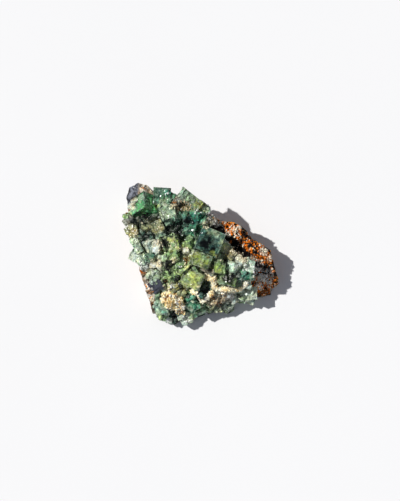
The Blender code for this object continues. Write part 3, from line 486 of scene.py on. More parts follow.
def rock_top(x, y):
    """Height of the rock's top: level under the crust, with a knob, falling to the front and flank."""
    from_knob = ((x - KNOB_CENTRE[0]) ** 2 + (y - KNOB_CENTRE[1]) ** 2) / KNOB_RADIUS**2
    from_tail = ((x - TAIL_CENTRE[0]) ** 2 + (y - TAIL_CENTRE[1]) ** 2) / TAIL_RADIUS**2
    top = (
        ROCK_HEIGHT
        + KNOB_HEIGHT * np.exp(-from_knob)
        - FRONT_FALL * smooth((FRONT_START - y) / FRONT_WIDTH)
        - TAIL_DEPTH * np.exp(-from_tail)
        - LIP_FALL * smooth((0.2 * x - y - LIP_START) / LIP_WIDTH)
        - FLANK_FALL * smooth((FLANK_BACK - y) / FLANK_DEPTH) * smooth(past_flank(x, y) / FLANK_WIDTH)
        + lumps(x, y)
    )
    return np.maximum(top, LEAST_HEIGHT)


def crust_top(x, y):
    """Height of the massive fluorite under the cubes."""
    return rock_top(x, y) + CRUST_THICKNESS


def cloud(points, size, seed):
    """Soft noise from -1 to 1: random values on a cubic lattice, blended smoothly between corners.

    The lattice's cells have this size in millimetres, and its values repeat after LATTICE cells.
    """
    table = np.random.default_rng(seed).uniform(-1.0, 1.0, (LATTICE,) * 3)
    place = points / size
    cell = np.floor(place).astype(int)
    share = smooth(place - cell)
    total = np.zeros(len(points))
    for corner in itertools.product((0, 1), repeat=3):
        weight = np.prod(np.where(np.array(corner) == 1, share, 1.0 - share), axis=1)
        i, j, k = ((cell + np.array(corner)) % LATTICE).T
        total += weight * table[i, j, k]
    return total


def patched(points, tint, patches):
    """Tints changed by patches: most near a patch's middle, torn at its edge, none past its reach.

    The share is smooth of (1 - distance over radius) over the softness, plus 0.4 and noise.
    """
    x, y = points[:, 0], points[:, 1]
    torn = 0.8 * cloud(points, 1.7, 91) + 0.5 * cloud(points, 0.8, 92)
    for kind, places in patches:
        colour, most, last, soft = PATCH_LOOKS[kind]
        for at_x, at_y, radius in places:
            near = np.flatnonzero(np.hypot(x - at_x, y - at_y) < PATCH_REACH * radius)
            away = np.hypot(x[near] - at_x, y[near] - at_y) / radius
            share = most * smooth((1.0 - away) / soft + 0.4 + torn[near])[:, None]
            tint[near] += share * (np.array((*colour, last)) - tint[near])
    return tint


def path_distance(path, x, y):
    """Least distance of places from the straight parts of a path."""
    least = np.full(np.shape(x), np.inf)
    for (x0, y0), (x1, y1) in zip(path, path[1:]):
        run, rise = x1 - x0, y1 - y0
        share = np.clip(((x - x0) * run + (y - y0) * rise) / (run * run + rise * rise), 0.0, 1.0)
        least = np.minimum(least, np.hypot(x - x0 - share * run, y - y0 - share * rise))
    return least


def spaced(outline, count):
    """Evenly spaced points along a closed outline, as two arrays."""
    corners = np.array(outline + outline[:1])
    steps = np.linalg.norm(np.diff(corners, axis=0), axis=1)
    travelled = np.concatenate(([0.0], np.cumsum(steps)))
    stations = np.linspace(0.0, travelled[-1], count, endpoint=False)
    return np.interp(stations, travelled, corners[:, 0]), np.interp(stations, travelled, corners[:, 1])


def inside(outline, x, y):
    """True for the places inside an outline: a line to the right crosses it an odd number of times."""
    found = np.zeros(np.shape(x), bool)
    for (x0, y0), (x1, y1) in zip(outline, outline[1:] + outline[:1]):
        if y0 != y1:
            found ^= ((y0 > y) != (y1 > y)) & (x < (x1 - x0) * (y - y0) / (y1 - y0) + x0)
    return found


def closed_grid(rows, columns):
    """Faces of a grid of rings, closed round and capped by one point at either end.

    Points are numbered ring by ring, then the first cap's, then the last cap's.
    """
    row, column = np.meshgrid(np.arange(rows - 1), np.arange(columns), indexing="ij")
    following = (column + 1) % columns
    quads = np.stack(
        (row * columns + column, (row + 1) * columns + column,
         (row + 1) * columns + following, row * columns + following), axis=-1,
    ).reshape(-1, 4)
    at = np.arange(columns)
    after = (at + 1) % columns
    first, last = rows * columns, rows * columns + 1
    start = np.stack((np.full(columns, first), at, after), axis=-1)
    base = (rows - 1) * columns
    end = np.stack((np.full(columns, last), base + after, base + at), axis=-1)
    return [quads, np.concatenate((start, end))]


def turned(habit, heading, lean, towards):
    """Turn of a cube that stands in a habit, is turned to a heading and leans over, as an array.

    The heading is that of the cube's first side, or of one edge that falls from the top corner.
    """
    if habit == CORNER_UP:
        stand = Vector((1, 1, 1)).rotation_difference(Vector((0, 0, 1))).to_matrix()
        down_edge = stand @ Vector((-1, 0, 0))
        heading -= math.degrees(math.atan2(down_edge.y, down_edge.x))
    elif habit == EDGE_UP:
        stand = Matrix.Rotation(math.radians(45.0), 3, "X")
    else:
        stand = Matrix.Identity(3)
    over = Vector((-math.sin(math.radians(towards)), math.cos(math.radians(towards)), 0.0))
    turn = (
        Matrix.Rotation(math.radians(lean), 3, over)
        @ Matrix.Rotation(math.radians(heading), 3, "Z")
        @ stand
    )
    return np.array(turn)


def turns_from(generator, count, tilt):
    """Random turns: a heading, then a lean of up to tilt degrees towards any side."""
    heading, towards = generator.uniform(0.0, TAU, (2, count))
    lean = np.radians(generator.uniform(0.0, tilt, count))
    ch, sh, cl, sl = np.cos(heading), np.sin(heading), np.cos(lean), np.sin(lean)
    zero, one = np.zeros(count), np.ones(count)
    about_z = np.array(((ch, -sh, zero), (sh, ch, zero), (zero, zero, one))).transpose(2, 0, 1)
    ct, st = np.cos(towards), np.sin(towards)
    swing = np.array(((ct, -st, zero), (st, ct, zero), (zero, zero, one))).transpose(2, 0, 1)
    about_y = np.array(((cl, zero, sl), (zero, one, zero), (-sl, zero, cl))).transpose(2, 0, 1)
    return swing @ about_y @ swing.transpose(0, 2, 1) @ about_z


def cube_lattice(cells, edge_share):
    """A cube's skin from -1 to 1: six square grids in u and v that share the points of their edges.

    The grid lines lie evenly, with two more near each edge for its rounding.
    """
    inner = np.linspace(-1.0 + edge_share, 1.0 - edge_share, cells + 1)
    near = 1.0 - 0.45 * edge_share
    lines = np.concatenate(([-1.0, -near], inner, [near, 1.0]))
    count = len(lines)
    u, v = np.meshgrid(lines, lines, indexing="ij")
    at = np.arange(count * count).reshape(count, count)
    quads = np.stack((at[:-1, :-1], at[1:, :-1], at[1:, 1:], at[:-1, 1:]), axis=-1).reshape(-1, 4)
    points, faces = [], []
    for axis in range(3):
        for sign in (-1.0, 1.0):
            face = np.empty((count * count, 3))
            face[:, axis] = sign
            face[:, (axis + 1) % 3] = u.ravel()
            face[:, (axis + 2) % 3] = v.ravel()
            faces.append((quads if sign > 0 else quads[:, ::-1]) + len(points) * count * count)
            points.append(face)
    welded, place = np.unique(np.round(np.concatenate(points), 6), axis=0, return_inverse=True)
    return welded, place.ravel()[np.concatenate(faces)]


# Later growth on a cube's face: how many, and the least and most of place, half sides and depth
LATER_GROWTHS = 7
LATER_LOW, LATER_HIGH = (-1.0, -1.0, 0.12, 0.12, -0.3), (1.0, 1.0, 0.5, 0.5, 0.5)
# A cube's grid: millimetres to a cell, fewest and most cells; and the edge under which it loses a corner
CELL, CELLS_LEAST, CELLS_MOST = 0.38, 8, 30
WHOLE_EDGE = 9.0


def growth_steps(u, v, generator, count, uneven):
    """Relief of a crystal face over u and v: how far it lies below the cube's own plane, 0 to 1.4.

    Square terraces climb towards one hub, as many as count, and small rectangles of later growth
    lie over them. The hub's distance is the larger of the two offsets, so that terraces are square.
    """
    hub = generator.uniform(-0.55, 0.55, 2)
    reach = np.maximum(np.abs(u - hub[0]), np.abs(v - hub[1])) + 0.06 * uneven
    relief = 0.55 * np.floor(reach * count) / count
    patches = generator.uniform(LATER_LOW, LATER_HIGH, (LATER_GROWTHS, len(LATER_LOW)))
    for across, along, wide, long, deep in patches:
        held = (np.abs(u - across) < wide) & (np.abs(v - along) < long)
        relief = relief + deep * held
    return np.clip(relief, 0.0, 1.4)


def crystal(sides, generator, step, rounding, etch):
    """One stepped cube about the origin, as points, faces and each point's place from -1 to 1.

    A point of the cube's skin sinks along each axis whose face it lies on, by that face's growth
    steps times step, but no more than 0.35 of half the side. A smaller cube loses a corner along an
    octahedral plane. Then the edges are rounded: the point is drawn back to the box that is smaller
    by the rounding, and pushed out again by the rounding's radius.
    """
    sides = np.array(sides)
    half = sides / 2.0
    cells = int(np.clip(round(float(sides.max()) / CELL), CELLS_LEAST, CELLS_MOST))
    place, faces = cube_lattice(cells, rounding / float(half.min()) * 0.9)
    uneven = cloud(place * half + generator.uniform(0.0, 90.0, 3), 1.6, 5)
    fine = cloud(place * half + generator.uniform(0.0, 90.0, 3), 0.7, 6)
    sunk = np.zeros_like(place)
    for axis in range(3):
        u, v = place[:, (axis + 1) % 3], place[:, (axis + 2) % 3]
        for sign in (-1.0, 1.0):
            relief = growth_steps(u, v, generator, generator.integers(3, 8), uneven)
            on_face = place[:, axis] * sign > 0.999
            sunk[:, axis] += on_face * (step * relief + etch * (0.6 * uneven + 0.5 * fine + 0.6))
    points = place * half
    points -= np.sign(place) * np.minimum(sunk, 0.35 * half)
    if np.ptp(sides) < 0.1 and sides[0] < WHOLE_EDGE:
        corner = generator.choice((-1.0, 1.0), 3)
        cut = (points @ corner) - 0.5 * sides.sum() * generator.uniform(0.84, 1.0)
        points -= np.maximum(cut, 0.0)[:, None] * corner / 3.0
    core = np.clip(points, -(half - rounding), half - rounding)
    out = points - core
    length = np.linalg.norm(out, axis=1, keepdims=True)
    pushed = core + out / np.maximum(length, 1e-9) * np.minimum(length, rounding)
    return pushed, faces, place


def chamfered(corner):
    """A cube from -1 to 1 with cut edges: an eight-sided section carried up a profile of four rings.

    The section's corners are (1, corner) and its mirrored and swapped copies. The profile starts
    and ends with the section drawn in to corner at heights -1 and 1, and is whole between.
    """
    a = corner
    section = np.array(((1, a), (a, 1), (-a, 1), (-1, a), (-1, -a), (-a, -1), (a, -1), (1, -a)), float)
    rings = [np.column_stack((section * share, np.full(8, height)))
             for share, height in ((a, -1.0), (1.0, -a), (1.0, a), (a, 1.0))]
    at = np.arange(8)
    after = (at + 1) % 8
    walls = [np.stack((row * 8 + at, row * 8 + after, (row + 1) * 8 + after, (row + 1) * 8 + at), axis=-1)
             for row in range(3)]
    lid = np.array(((0, 1, 2, 3), (0, 3, 4, 7), (4, 5, 6, 7)))
    return np.concatenate(rings), [np.concatenate(walls + [lid + 24, lid[:, ::-1]])]


def lathed(profile, corners):
    """A small form: a regular section of this many corners carried up a profile of (radius, height)."""
    around = np.arange(corners) * TAU / corners
    rings = [np.column_stack((radius * np.cos(around), radius * np.sin(around), np.full(corners, height)))
             for radius, height in profile[1:-1]]
    ends = [np.array(((0.0, 0.0, profile[0][1]),)), np.array(((0.0, 0.0, profile[-1][1]),))]
    quads, caps = closed_grid(len(rings), corners)
    return np.concatenate(rings + ends), [quads[:, ::-1], caps[:, ::-1]]


CUBELET = chamfered(0.86)
BLADE = lathed(((0, -1), (0.55, -0.8), (1.0, -0.1), (0.8, 0.55), (0, 1)), 6)
GRAIN = lathed(((0, -1), (0.8, -0.55), (1.0, 0.15), (0.6, 0.8), (0, 1)), 6)
QUARTZ = lathed(((0, -1), (1.0, -0.9), (1.0, 0.45), (0, 1)), 6)


def scatter(form, places, turns, sizes, generator, rough=0.0):
    """Many copies of a small form: each is scaled, roughened, turned and set at its place."""
    points, faces = form
    count = len(places)
    copies = points[None] * sizes[:, None, :]
    if rough:
        copies = copies * (1.0 + generator.uniform(-rough, rough, (count, len(points), 1)))
    copies = np.einsum("nij,npj->npi", turns, copies) + places[:, None, :]
    offsets = np.arange(count)[:, None, None] * len(points)
    many = [(part[None] + offsets).reshape(-1, part.shape[1]) for part in faces]
    return copies.reshape(-1, 3), many, np.repeat(np.arange(count), len(points))


def join(pieces):
    """Joins pieces of (points, list of faces, one row of values for each point) into one."""
    shift, faces = 0, []
    for points, parts, _ in pieces:
        faces.extend(part + shift for part in parts)
        shift += len(points)
    merged = [np.concatenate([part for part in faces if part.shape[1] == wide])
              for wide in sorted({part.shape[1] for part in faces})]
    points = np.concatenate([piece[0] for piece in pieces])
    return points, merged, np.concatenate([piece[2] for piece in pieces])


# Meshes and materials

def make_piece(name, points, faces, tint, material, nodes=()):
    """Puts points in millimetres into a mesh with its tint and frost, and joins it to the specimen."""
    mesh = bpy.data.meshes.new(name)
    points[:, 2] = np.maximum(points[:, 2], 0.0)
    mesh.vertices.add(len(points))
    mesh.vertices.foreach_set("co", (points * MM).astype(np.float32).ravel())
    corners = np.concatenate([part.ravel() for part in faces])
    totals = np.concatenate([np.full(len(part), part.shape[1]) for part in faces])
    mesh.loops.add(len(corners))
    mesh.loops.foreach_set("vertex_index", corners.astype(np.int32))
    mesh.polygons.add(len(totals))
    starts = np.concatenate(([0], np.cumsum(totals)[:-1]))
    mesh.polygons.foreach_set("loop_start", starts.astype(np.int32))
    mesh.update(calc_edges=True)
    if mesh.validate():
        raise RuntimeError(f"{name} has broken faces")
    colours = mesh.attributes.new("tint", "FLOAT_VECTOR", "POINT")
    colours.data.foreach_set("vector", tint[:, :3].astype(np.float32).ravel())
    frost = mesh.attributes.new("frost", "FLOAT", "POINT")
    frost.data.foreach_set("value", tint[:, 3].astype(np.float32))
    mesh.materials.append(material)
    obj = bpy.data.objects.new(name, mesh)
    bpy.context.scene.collection.objects.link(obj)
    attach(obj, "root")
    if nodes:
        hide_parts(*nodes)


def node(tree, kind, values=None, **settings):
    """A shader node with its settings and plain input values."""
    made = tree.nodes.new("ShaderNode" + kind)
    for key, value in settings.items():
        setattr(made, key, value)
    for key, value in (values or {}).items():
        made.inputs[key].default_value = value
    return made


def ramp(tree, source, stops):
    """A colour ramp over source, from stops of (position, colour or grey)."""
    made = node(tree, "ValToRGB")
    elements = made.color_ramp.elements
    for at, (position, value) in enumerate(stops):
        element = elements[at] if at < 2 else elements.new(position)
        element.position = position
        element.color = (*value, 1.0) if isinstance(value, tuple) else (value, value, value, 1.0)
    tree.links.new(source, made.inputs["Fac"])
    return made.outputs["Color"]


def blend(tree, mode, factor, first, second):
    """A colour mix; factor and the colours are sockets or plain values."""
    made = node(tree, "Mix", data_type="RGBA", blend_type=mode)
    for socket, value in ((made.inputs[0], factor), (made.inputs[6], first), (made.inputs[7], second)):
        if isinstance(value, bpy.types.NodeSocket):
            tree.links.new(value, socket)
        elif isinstance(value, tuple):
            socket.default_value = (*value, 1.0)
        else:
            socket.default_value = value
    return made.outputs[2]


def scaled(tree, source, low, high):
    """Maps 0 to 1 of source onto low to high."""
    made = node(tree, "MapRange", {"To Min": low, "To Max": high})
    tree.links.new(source, made.inputs["Value"])
    return made.outputs["Result"]


def combined(tree, operation, first, second):
    """A sum, product or comparison of two sockets."""
    made = node(tree, "Math", operation=operation)
    tree.links.new(first, made.inputs[0])
    tree.links.new(second, made.inputs[1])
    return made.outputs[0]


class Finish:
    """A new material: its tree, its shader and the patterns in the specimen's own place."""

    def __init__(self, name):
        self.material = bpy.data.materials.new(name)
        self.material.use_nodes = True
        self.tree = self.material.node_tree
        self.shader = self.tree.nodes["Principled BSDF"]
        self.place = node(self.tree, "TexCoord").outputs["Object"]
        self.tint = node(self.tree, "Attribute", attribute_name="tint").outputs["Color"]
        self.frost = node(self.tree, "Attribute", attribute_name="frost").outputs["Fac"]

    def plain(self, **values):
        """Sets plain values of the shader, with _ for a space in an input's name."""
        for key, value in values.items():
            self.shader.inputs[key.replace("_", " ")].default_value = value

    def noise(self, scale, detail=4.0, rough=0.6, warp=0.0):
        """Cloudy noise of this many waves to the metre."""
        made = node(self.tree, "TexNoise", {"Scale": scale, "Detail": detail, "Roughness": rough,
                                            "Distortion": warp})
        self.tree.links.new(self.place, made.inputs["Vector"])
        return made.outputs["Fac"]

    def cells(self, scale):
        """Voronoi cells of this many to the metre: their colours, and the distance from their points."""
        made = node(self.tree, "TexVoronoi", {"Scale": scale})
        self.tree.links.new(self.place, made.inputs["Vector"])
        return made.outputs["Color"], made.outputs["Distance"]

    def bump(self, height, strength, distance_mm):
        """Raises the surface by height, over any earlier bump."""
        made = node(self.tree, "Bump", {"Strength": strength, "Distance": distance_mm * MM})
        self.tree.links.new(height, made.inputs["Height"])
        earlier = self.shader.inputs["Normal"].links
        if earlier:
            self.tree.links.new(earlier[0].from_socket, made.inputs["Normal"])
        self.tree.links.new(made.outputs["Normal"], self.shader.inputs["Normal"])

    def wire(self, source, name):
        """Links a socket to an input of the shader."""
        self.tree.links.new(source, self.shader.inputs[name])

    def absorb(self, colour, density):
        """Absorption inside the body, as plain values."""
        made = node(self.tree, "VolumeAbsorption", {"Color": (*colour, 1.0), "Density": density})
        self.tree.links.new(made.outputs["Volume"], self.tree.nodes["Material Output"].inputs["Volume"])


def fluorite_finish(name, see_through, roughness, absorbed, density, specular=0.35):
    """Clear to frosted crystal: the tint, clouded and cracked, over plain transmission.

    The tint is multiplied by a warm and cool hue, by light and dark clouds and by dark cracks, then
    mixed with a pale veil where it is frosted.
    """
    finish = Finish(name)
    tree = finish.tree
    hue = ramp(tree, finish.noise(240.0, 3.0), ((0.35, (0.86, 1.0, 1.08)), (0.65, (1.16, 1.04, 0.80))))
    clouds = ramp(
        tree, finish.noise(620.0, 4.0, 0.62, 0.5), ((0.30, 0.12), (0.45, 0.74), (0.55, 1.2), (0.68, 2.3))
    )
    cracks = ramp(
        tree, finish.noise(420.0, 3.0, 0.6, 1.5), ((0.535, 1.0), (0.550, 0.28), (0.560, 0.28), (0.575, 1.0))
    )
    body = finish.tint
    for pattern in (hue, clouds, cracks):
        body = blend(tree, "MULTIPLY", 1.0, body, pattern)
    veils = ramp(tree, finish.noise(950.0, 3.0, 0.7, 1.2), ((0.49, 0.0), (0.62, 1.0)))
    veiled = combined(tree, "MULTIPLY", veils, finish.frost)
    finish.wire(blend(tree, "MIX", veiled, body, (0.86, 0.93, 0.80)), "Base Color")
    finish.wire(scaled(tree, finish.noise(700.0), roughness * 0.4, roughness * 1.6), "Roughness")
    finish.bump(finish.noise(1500.0, 3.0), 0.35, 0.12)
    finish.bump(finish.cells(700.0)[1], 0.25, 0.2)
    finish.plain(Transmission_Weight=see_through, IOR=FLUORITE_IOR, Specular_IOR_Level=specular)
    finish.absorb(absorbed, density)
    return finish.material


def mineral_finish(name, roughness, bump_mm, scale, specular=0.5, darkest=0.45):
    """Opaque mineral: the tint, mottled at this scale down to darkest, with a grainy surface."""
    finish = Finish(name)
    tree = finish.tree
    mottled = ramp(tree, finish.noise(scale, 6.0, 0.7), ((0.25, darkest), (0.5, 1.0), (0.78, 1.5)))
    finish.wire(blend(tree, "MULTIPLY", 1.0, finish.tint, mottled), "Base Color")
    finish.wire(scaled(tree, finish.noise(scale * 1.7), roughness * 0.7, roughness * 1.2), "Roughness")
    finish.bump(finish.noise(scale * 2.0, 5.0, 0.7), 0.6, bump_mm)
    finish.plain(Specular_IOR_Level=specular)
    return finish


def rock_finish(settings):
    """Broken rock: rust granules, black hollows and pale specks where frost is 1, plain rock at 0.

    Each cell of a fine pattern is a granule. Its first random number picks the colour, and it shows
    where its second is less than the frost.
    """
    finish = mineral_finish("iron_stained_rock_look", 0.85, 0.5, 500.0, 0.04)
    tree = finish.tree
    colours, distance = finish.cells(1350.0)
    pick = node(tree, "SeparateColor")
    tree.links.new(colours, pick.inputs["Color"])
    rust = tuple(settings.rust)
    granules = ramp(tree, pick.outputs[0], (
        (0.0, (0.003, 0.002, 0.002)),
        (0.28, (0.012, 0.005, 0.003)),
        (0.35, tuple(0.4 * c for c in rust)),
        (0.45, rust),
        (0.74, tuple(min(1.0, 2.0 * c) for c in rust)),
        (0.85, (1.0, 0.60, 0.20)),
        (0.93, (0.98, 0.92, 0.80)),
    ))
    pits = ramp(tree, finish.noise(360.0, 4.0, 0.65), ((0.45, 0.005), (0.48, 1.0)))
    granules = blend(tree, "MULTIPLY", 1.0, granules, pits)
    plain = finish.shader.inputs["Base Color"].links[0].from_socket
    shown = combined(tree, "LESS_THAN", pick.outputs[1], finish.frost)
    finish.wire(blend(tree, "MIX", shown, plain, granules), "Base Color")
    finish.bump(distance, 0.7, -0.5)
    return finish.material


# Settings

def colour(name, description, default):
    """A colour property, as linear red, green and blue."""
    return FloatVectorProperty(
        name=name, description=description, default=default, subtype="COLOR", size=3, min=0.0, max=1.0
    )


def length(name, description, default, most, least=0.0):
    """A length property, from millimetres."""
    return FloatProperty(
        name=name, description=description, default=default * MM, min=least * MM, max=most * MM,
        unit="LENGTH", precision=5,
    )


def how_many(name, description, default, most):
    """A whole number property."""
    return IntProperty(name=name, description=description, default=default, min=0, max=most)


class FluoriteTones(bpy.types.PropertyGroup):
    """Colours of the crystals, each the tone in the middle of a cube."""

    emerald: colour("Emerald", "The large cube on its corner", (0.11, 0.44, 0.17))
    teal: colour("Teal", "Blue-green cubes", (0.20, 0.48, 0.31))
    aqua: colour("Aqua", "Bright blue-green knots", (0.05, 0.36, 0.21))
    deep: colour("Deep", "Almost black cubes", (0.035, 0.085, 0.070))
    spring: colour("Spring", "Pale yellow-green blocks", (0.50, 0.64, 0.25))
    leaf: colour("Leaf", "Green cubes", (0.34, 0.52, 0.20))
    olive: colour("Olive", "Olive cubes", (0.46, 0.46, 0.22))
    moss: colour("Moss", "Dark green cubes", (0.09, 0.14, 0.04))
    mint: colour("Mint", "Pale mint blocks", (0.55, 0.75, 0.49))
    sea: colour("Sea", "Pale grey-green blocks", (0.33, 0.50, 0.33))
    frosted: colour("Frosted", "White-green frosted cubes", (0.64, 0.78, 0.66))
    milk: colour("Milk", "Cream-white crystals", (0.80, 0.76, 0.64))
    smoky: colour("Smoky", "Brown-grey crystals", (0.20, 0.19, 0.15))


class FluoriteSettings(bpy.types.PropertyGroup):
    """Sizes of the crystals' relief and of the small growth between them."""

    step: length("Growth step", "Depth of the terraces on the cube faces", 0.7, 2.0)
    rounding: length("Edge rounding", "Radius of the cubes' edges", 0.16, 0.5, 0.02)
    etch: length("Etching", "Unevenness of the cube faces", 0.10, 0.5)
    small: how_many("Small cubes", "Small cubes between the named ones", 900, 3000)
    parallel: how_many("Parallel growth", "Small cubes grown on each named cube", 13, 30)
    # The crust's near-black is painted shade for the gaps between the cubes
    crust: colour("Crust", "The dark massive fluorite in the gaps", (0.012, 0.022, 0.014))


class RockSettings(bpy.types.PropertyGroup):
    """Colours and roughness of the rock."""

    rust: colour("Rust", "Granules of the bare flank", (0.74, 0.18, 0.010))
    tan: colour("Tan", "Sandy rock", (0.44, 0.32, 0.20))
    slate: colour("Slate", "Dark blue-grey rock", (0.15, 0.16, 0.19))
    ash: colour("Ash", "Grey rock", (0.32, 0.29, 0.25))
    relief: length("Relief", "Height of the broken surface", 0.8, 3.0)
    grains: how_many("Grains", "Grains on the bare flank", 1300, 4000)


class DruseSettings(bpy.types.PropertyGroup):
    """Colours and number of the druse's blades."""

    cream: colour("Cream", "Most of the blades", (0.99, 0.89, 0.64))
    honey: colour("Honey", "Stained blades", (0.90, 0.66, 0.28))
    white: colour("White", "Fresh blades", (0.96, 0.94, 0.86))
    blades: FloatProperty(
        name="Blades", description="Blades for each square millimetre", default=3.4, min=0.2, max=8.0
    )


class StageSettings(bpy.types.PropertyGroup):
    """Floor, light and camera."""

    floor: colour("Floor", "The pale floor", (0.88, 0.88, 0.885))
    sky: colour("Sky", "Light from all round", (0.80, 0.86, 1.0))
    sky_strength: FloatProperty(
        name="Sky strength", description="Light from all round", default=0.215, min=0.0
    )
    sun_strength: FloatProperty(name="Key strength", description="The key light", default=3.9, min=0.0)
    sun_size: FloatProperty(
        name="Key size", description="Angle that the key light fills", default=math.radians(1.2),
        min=0.0, max=math.pi / 2.0, subtype="ANGLE",
    )
    lens: FloatProperty(
        name="Lens", description="Focal length in millimetres", default=150.0, min=20.0,
        subtype="DISTANCE_CAMERA",
    )


class SpecimenSettings(bpy.types.PropertyGroup):
    """All settings of the specimen."""

    tones: PointerProperty(type=FluoriteTones)
    fluorite: PointerProperty(type=FluoriteSettings)
    rock: PointerProperty(type=RockSettings)
    druse: PointerProperty(type=DruseSettings)
    stage: PointerProperty(type=StageSettings)


# How the pieces are grown

def rough_outline(outline, count, uneven, seed):
    """Evenly spaced points of an outline, shifted by noise along their way from the middle."""
    x, y = spaced(outline, count)
    flat = np.column_stack((x, y, np.zeros(count)))
    shift = 1.0 + uneven * cloud(flat, 2.6, seed) / MEAN_RADIUS
    shift += 0.5 * uneven * cloud(flat, 1.1, seed + 1) / MEAN_RADIUS
    return x * shift, y * shift


def rock_surface(relief):
    """The rock as rings, each a share of the outline: across the top, down the side, over the base.

    Its top is rock_top less the rounding at the rim. Down the side, the share falls to the base's
    with the power 1.6 of the way down, and waves a little. Noise moves top points up and side
    points out; the base stays flat.
    """
    around_count, top, side, base = 560, 96, 34, 8
    x, y = rough_outline(ROCK_OUTLINE, around_count, ROCK_UNEVEN, 31)
    around = np.arctan2(y, x)
    base_share = BASE_INSET * (1.0 + 0.03 * np.sin(5.0 * around + 0.8))
    rim = rock_top(x, y) - RIM_ROUNDING
    rows = []
    for share in np.linspace(0.0, 1.0, top + 1)[1:]:
        z = rock_top(share * x, share * y) - RIM_ROUNDING * smooth((share - 0.84) / 0.16)
        rows.append(np.column_stack((share * x, share * y, z)))
    for down in np.linspace(0.0, 1.0, side + 1)[1:]:
        share = 1.0 - (1.0 - base_share) * down**1.6
        share = share + 0.012 * np.sin(9.0 * down + 4.0 * around) * math.sin(math.pi * down)
        rows.append(np.column_stack((share * x, share * y, rim * (1.0 - down))))
    for part in np.linspace(1.0, 0.0, base + 1)[1:-1]:
        rows.append(np.column_stack((base_share * part * x, base_share * part * y, np.zeros_like(x))))
    ends = np.array(((0.0, 0.0, float(rock_top(0.0, 0.0))), (0.0, 0.0, 0.0)))
    points = np.concatenate(rows + [ends])
    ring = np.repeat(np.arange(len(rows)), around_count)
    up = np.zeros(len(points))
    up[: len(ring)] = 1.0 - smooth((ring - top + 8) / 12.0)
    off_base = smooth(points[:, 2] / 2.5)
    coarse, medium, fine = cloud(points, 3.4, 41), cloud(points, 1.5, 42), cloud(points, 0.7, 43)
    pits = np.maximum(cloud(points, 1.9, 44) - 0.28, 0.0)
    height = relief * (0.55 * coarse + 0.45 * medium + 0.25 * fine - 1.6 * pits) * off_base
    out = points[:, :2] / np.maximum(np.linalg.norm(points[:, :2], axis=1, keepdims=True), 1.0)
    points[:, 2] += height * up
    points[:, :2] += out * (height * (1.0 - up))[:, None]
    return points, closed_grid(len(rows), around_count), height


def rock_tint(points, height, settings):
    """Colour of the rock by its zones, and in the last column how far its rust granules show.

    Tan and ash mix in broad patches, with pale and dark specks. Rust stains lie over them, but not
    on the knob, which is dark slate on its left and tan on top. Painted shade darkens the hollows.
    """
    x, y, z = points.T
    patches, specks = cloud(points, 3.2, 51), cloud(points, 0.9, 52)
    tan, slate, ash, rust = (np.array(c) for c in (settings.tan, settings.slate, settings.ash, settings.rust))
    share = smooth(0.5 + 1.4 * patches)[:, None]
    tint = ash * (1.0 - share) + tan * share
    tint = np.where((specks > 0.42)[:, None], PALE_SPECK, tint)
    tint = np.where((specks < -0.45)[:, None], 0.16 * tan, tint)
    knob = np.hypot(x - KNOB_LOOK_CENTRE[0], y - KNOB_LOOK_CENTRE[1]) < KNOB_LOOK_RADIUS
    stain = smooth(2.4 * cloud(points, 4.5, 53) + 1.4 * cloud(points, 1.3, 54) - 1.0)
    stain = np.where(knob, 0.0, stain)[:, None]
    tint = tint * (1.0 - stain) + 0.55 * rust * stain
    left = smooth((SLATE_EDGE[0] - x + 0.25 * (y - SLATE_EDGE[1]) + 1.5 * patches) / 1.6)[:, None]
    streaks = (1.0 + 1.1 * specks + 0.8 * cloud(points, 0.55, 55))[:, None]
    tint = np.where(knob[:, None], tint * 1.1 * (1.0 - left) + slate * streaks * left, tint)
    flank = smooth((past_flank(x, y) - 0.5) / 2.0) * smooth((z - 2.0) / 4.0)
    # painted shade: darker in the rock's hollows
    painted_hollow_shade = (1.0 - 0.75 * smooth(-height / 0.5))[:, None]
    return patched(points, np.column_stack((tint * painted_hollow_shade, flank)), ROCK_PATCHES)


def crust_surface():
    """The massive crust as rings: its top follows the rock and falls off at the rim.

    Its underside lies two thicknesses down. Blocky and soft noise lift all of it.
    """
    around_count, top = 420, 90
    x, y = rough_outline(CRUST_OUTLINE, around_count, CRUST_UNEVEN, 61)
    rows = []
    for share in np.linspace(0.0, 1.0, top + 1)[1:]:
        z = crust_top(share * x, share * y) - CRUST_RIM_FALL * smooth((share - 0.8) / 0.2)
        rows.append(np.column_stack((share * x, share * y, z)))
    for share in (0.985, 0.95, 0.7, 0.35):
        z = crust_top(share * x, share * y) - 2.0 * CRUST_THICKNESS + 2.0 * smooth((share - 0.94) / 0.06)
        rows.append(np.column_stack((share * x, share * y, z)))
    middle = float(crust_top(0.0, 0.0))
    ends = np.array(((0.0, 0.0, middle), (0.0, 0.0, middle - 2.0 * CRUST_THICKNESS)))
    points = np.concatenate(rows + [ends])
    blocky = np.round(1.7 * cloud(points, 2.3, 62)) / 1.7
    relief = 0.55 * blocky + 0.35 * cloud(points, 1.1, 63)
    points[:, 2] += relief
    return points, closed_grid(len(rows), around_count), relief


def tone_of(tones, name):
    """A tone's colour in the middle of a cube and at its edges, and how frosted it is."""
    middle = np.array(getattr(tones, name))
    edge_gain, frost = TONE_LOOKS[name]
    return middle, np.clip(middle * edge_gain, 0.0, BRIGHTEST), frost


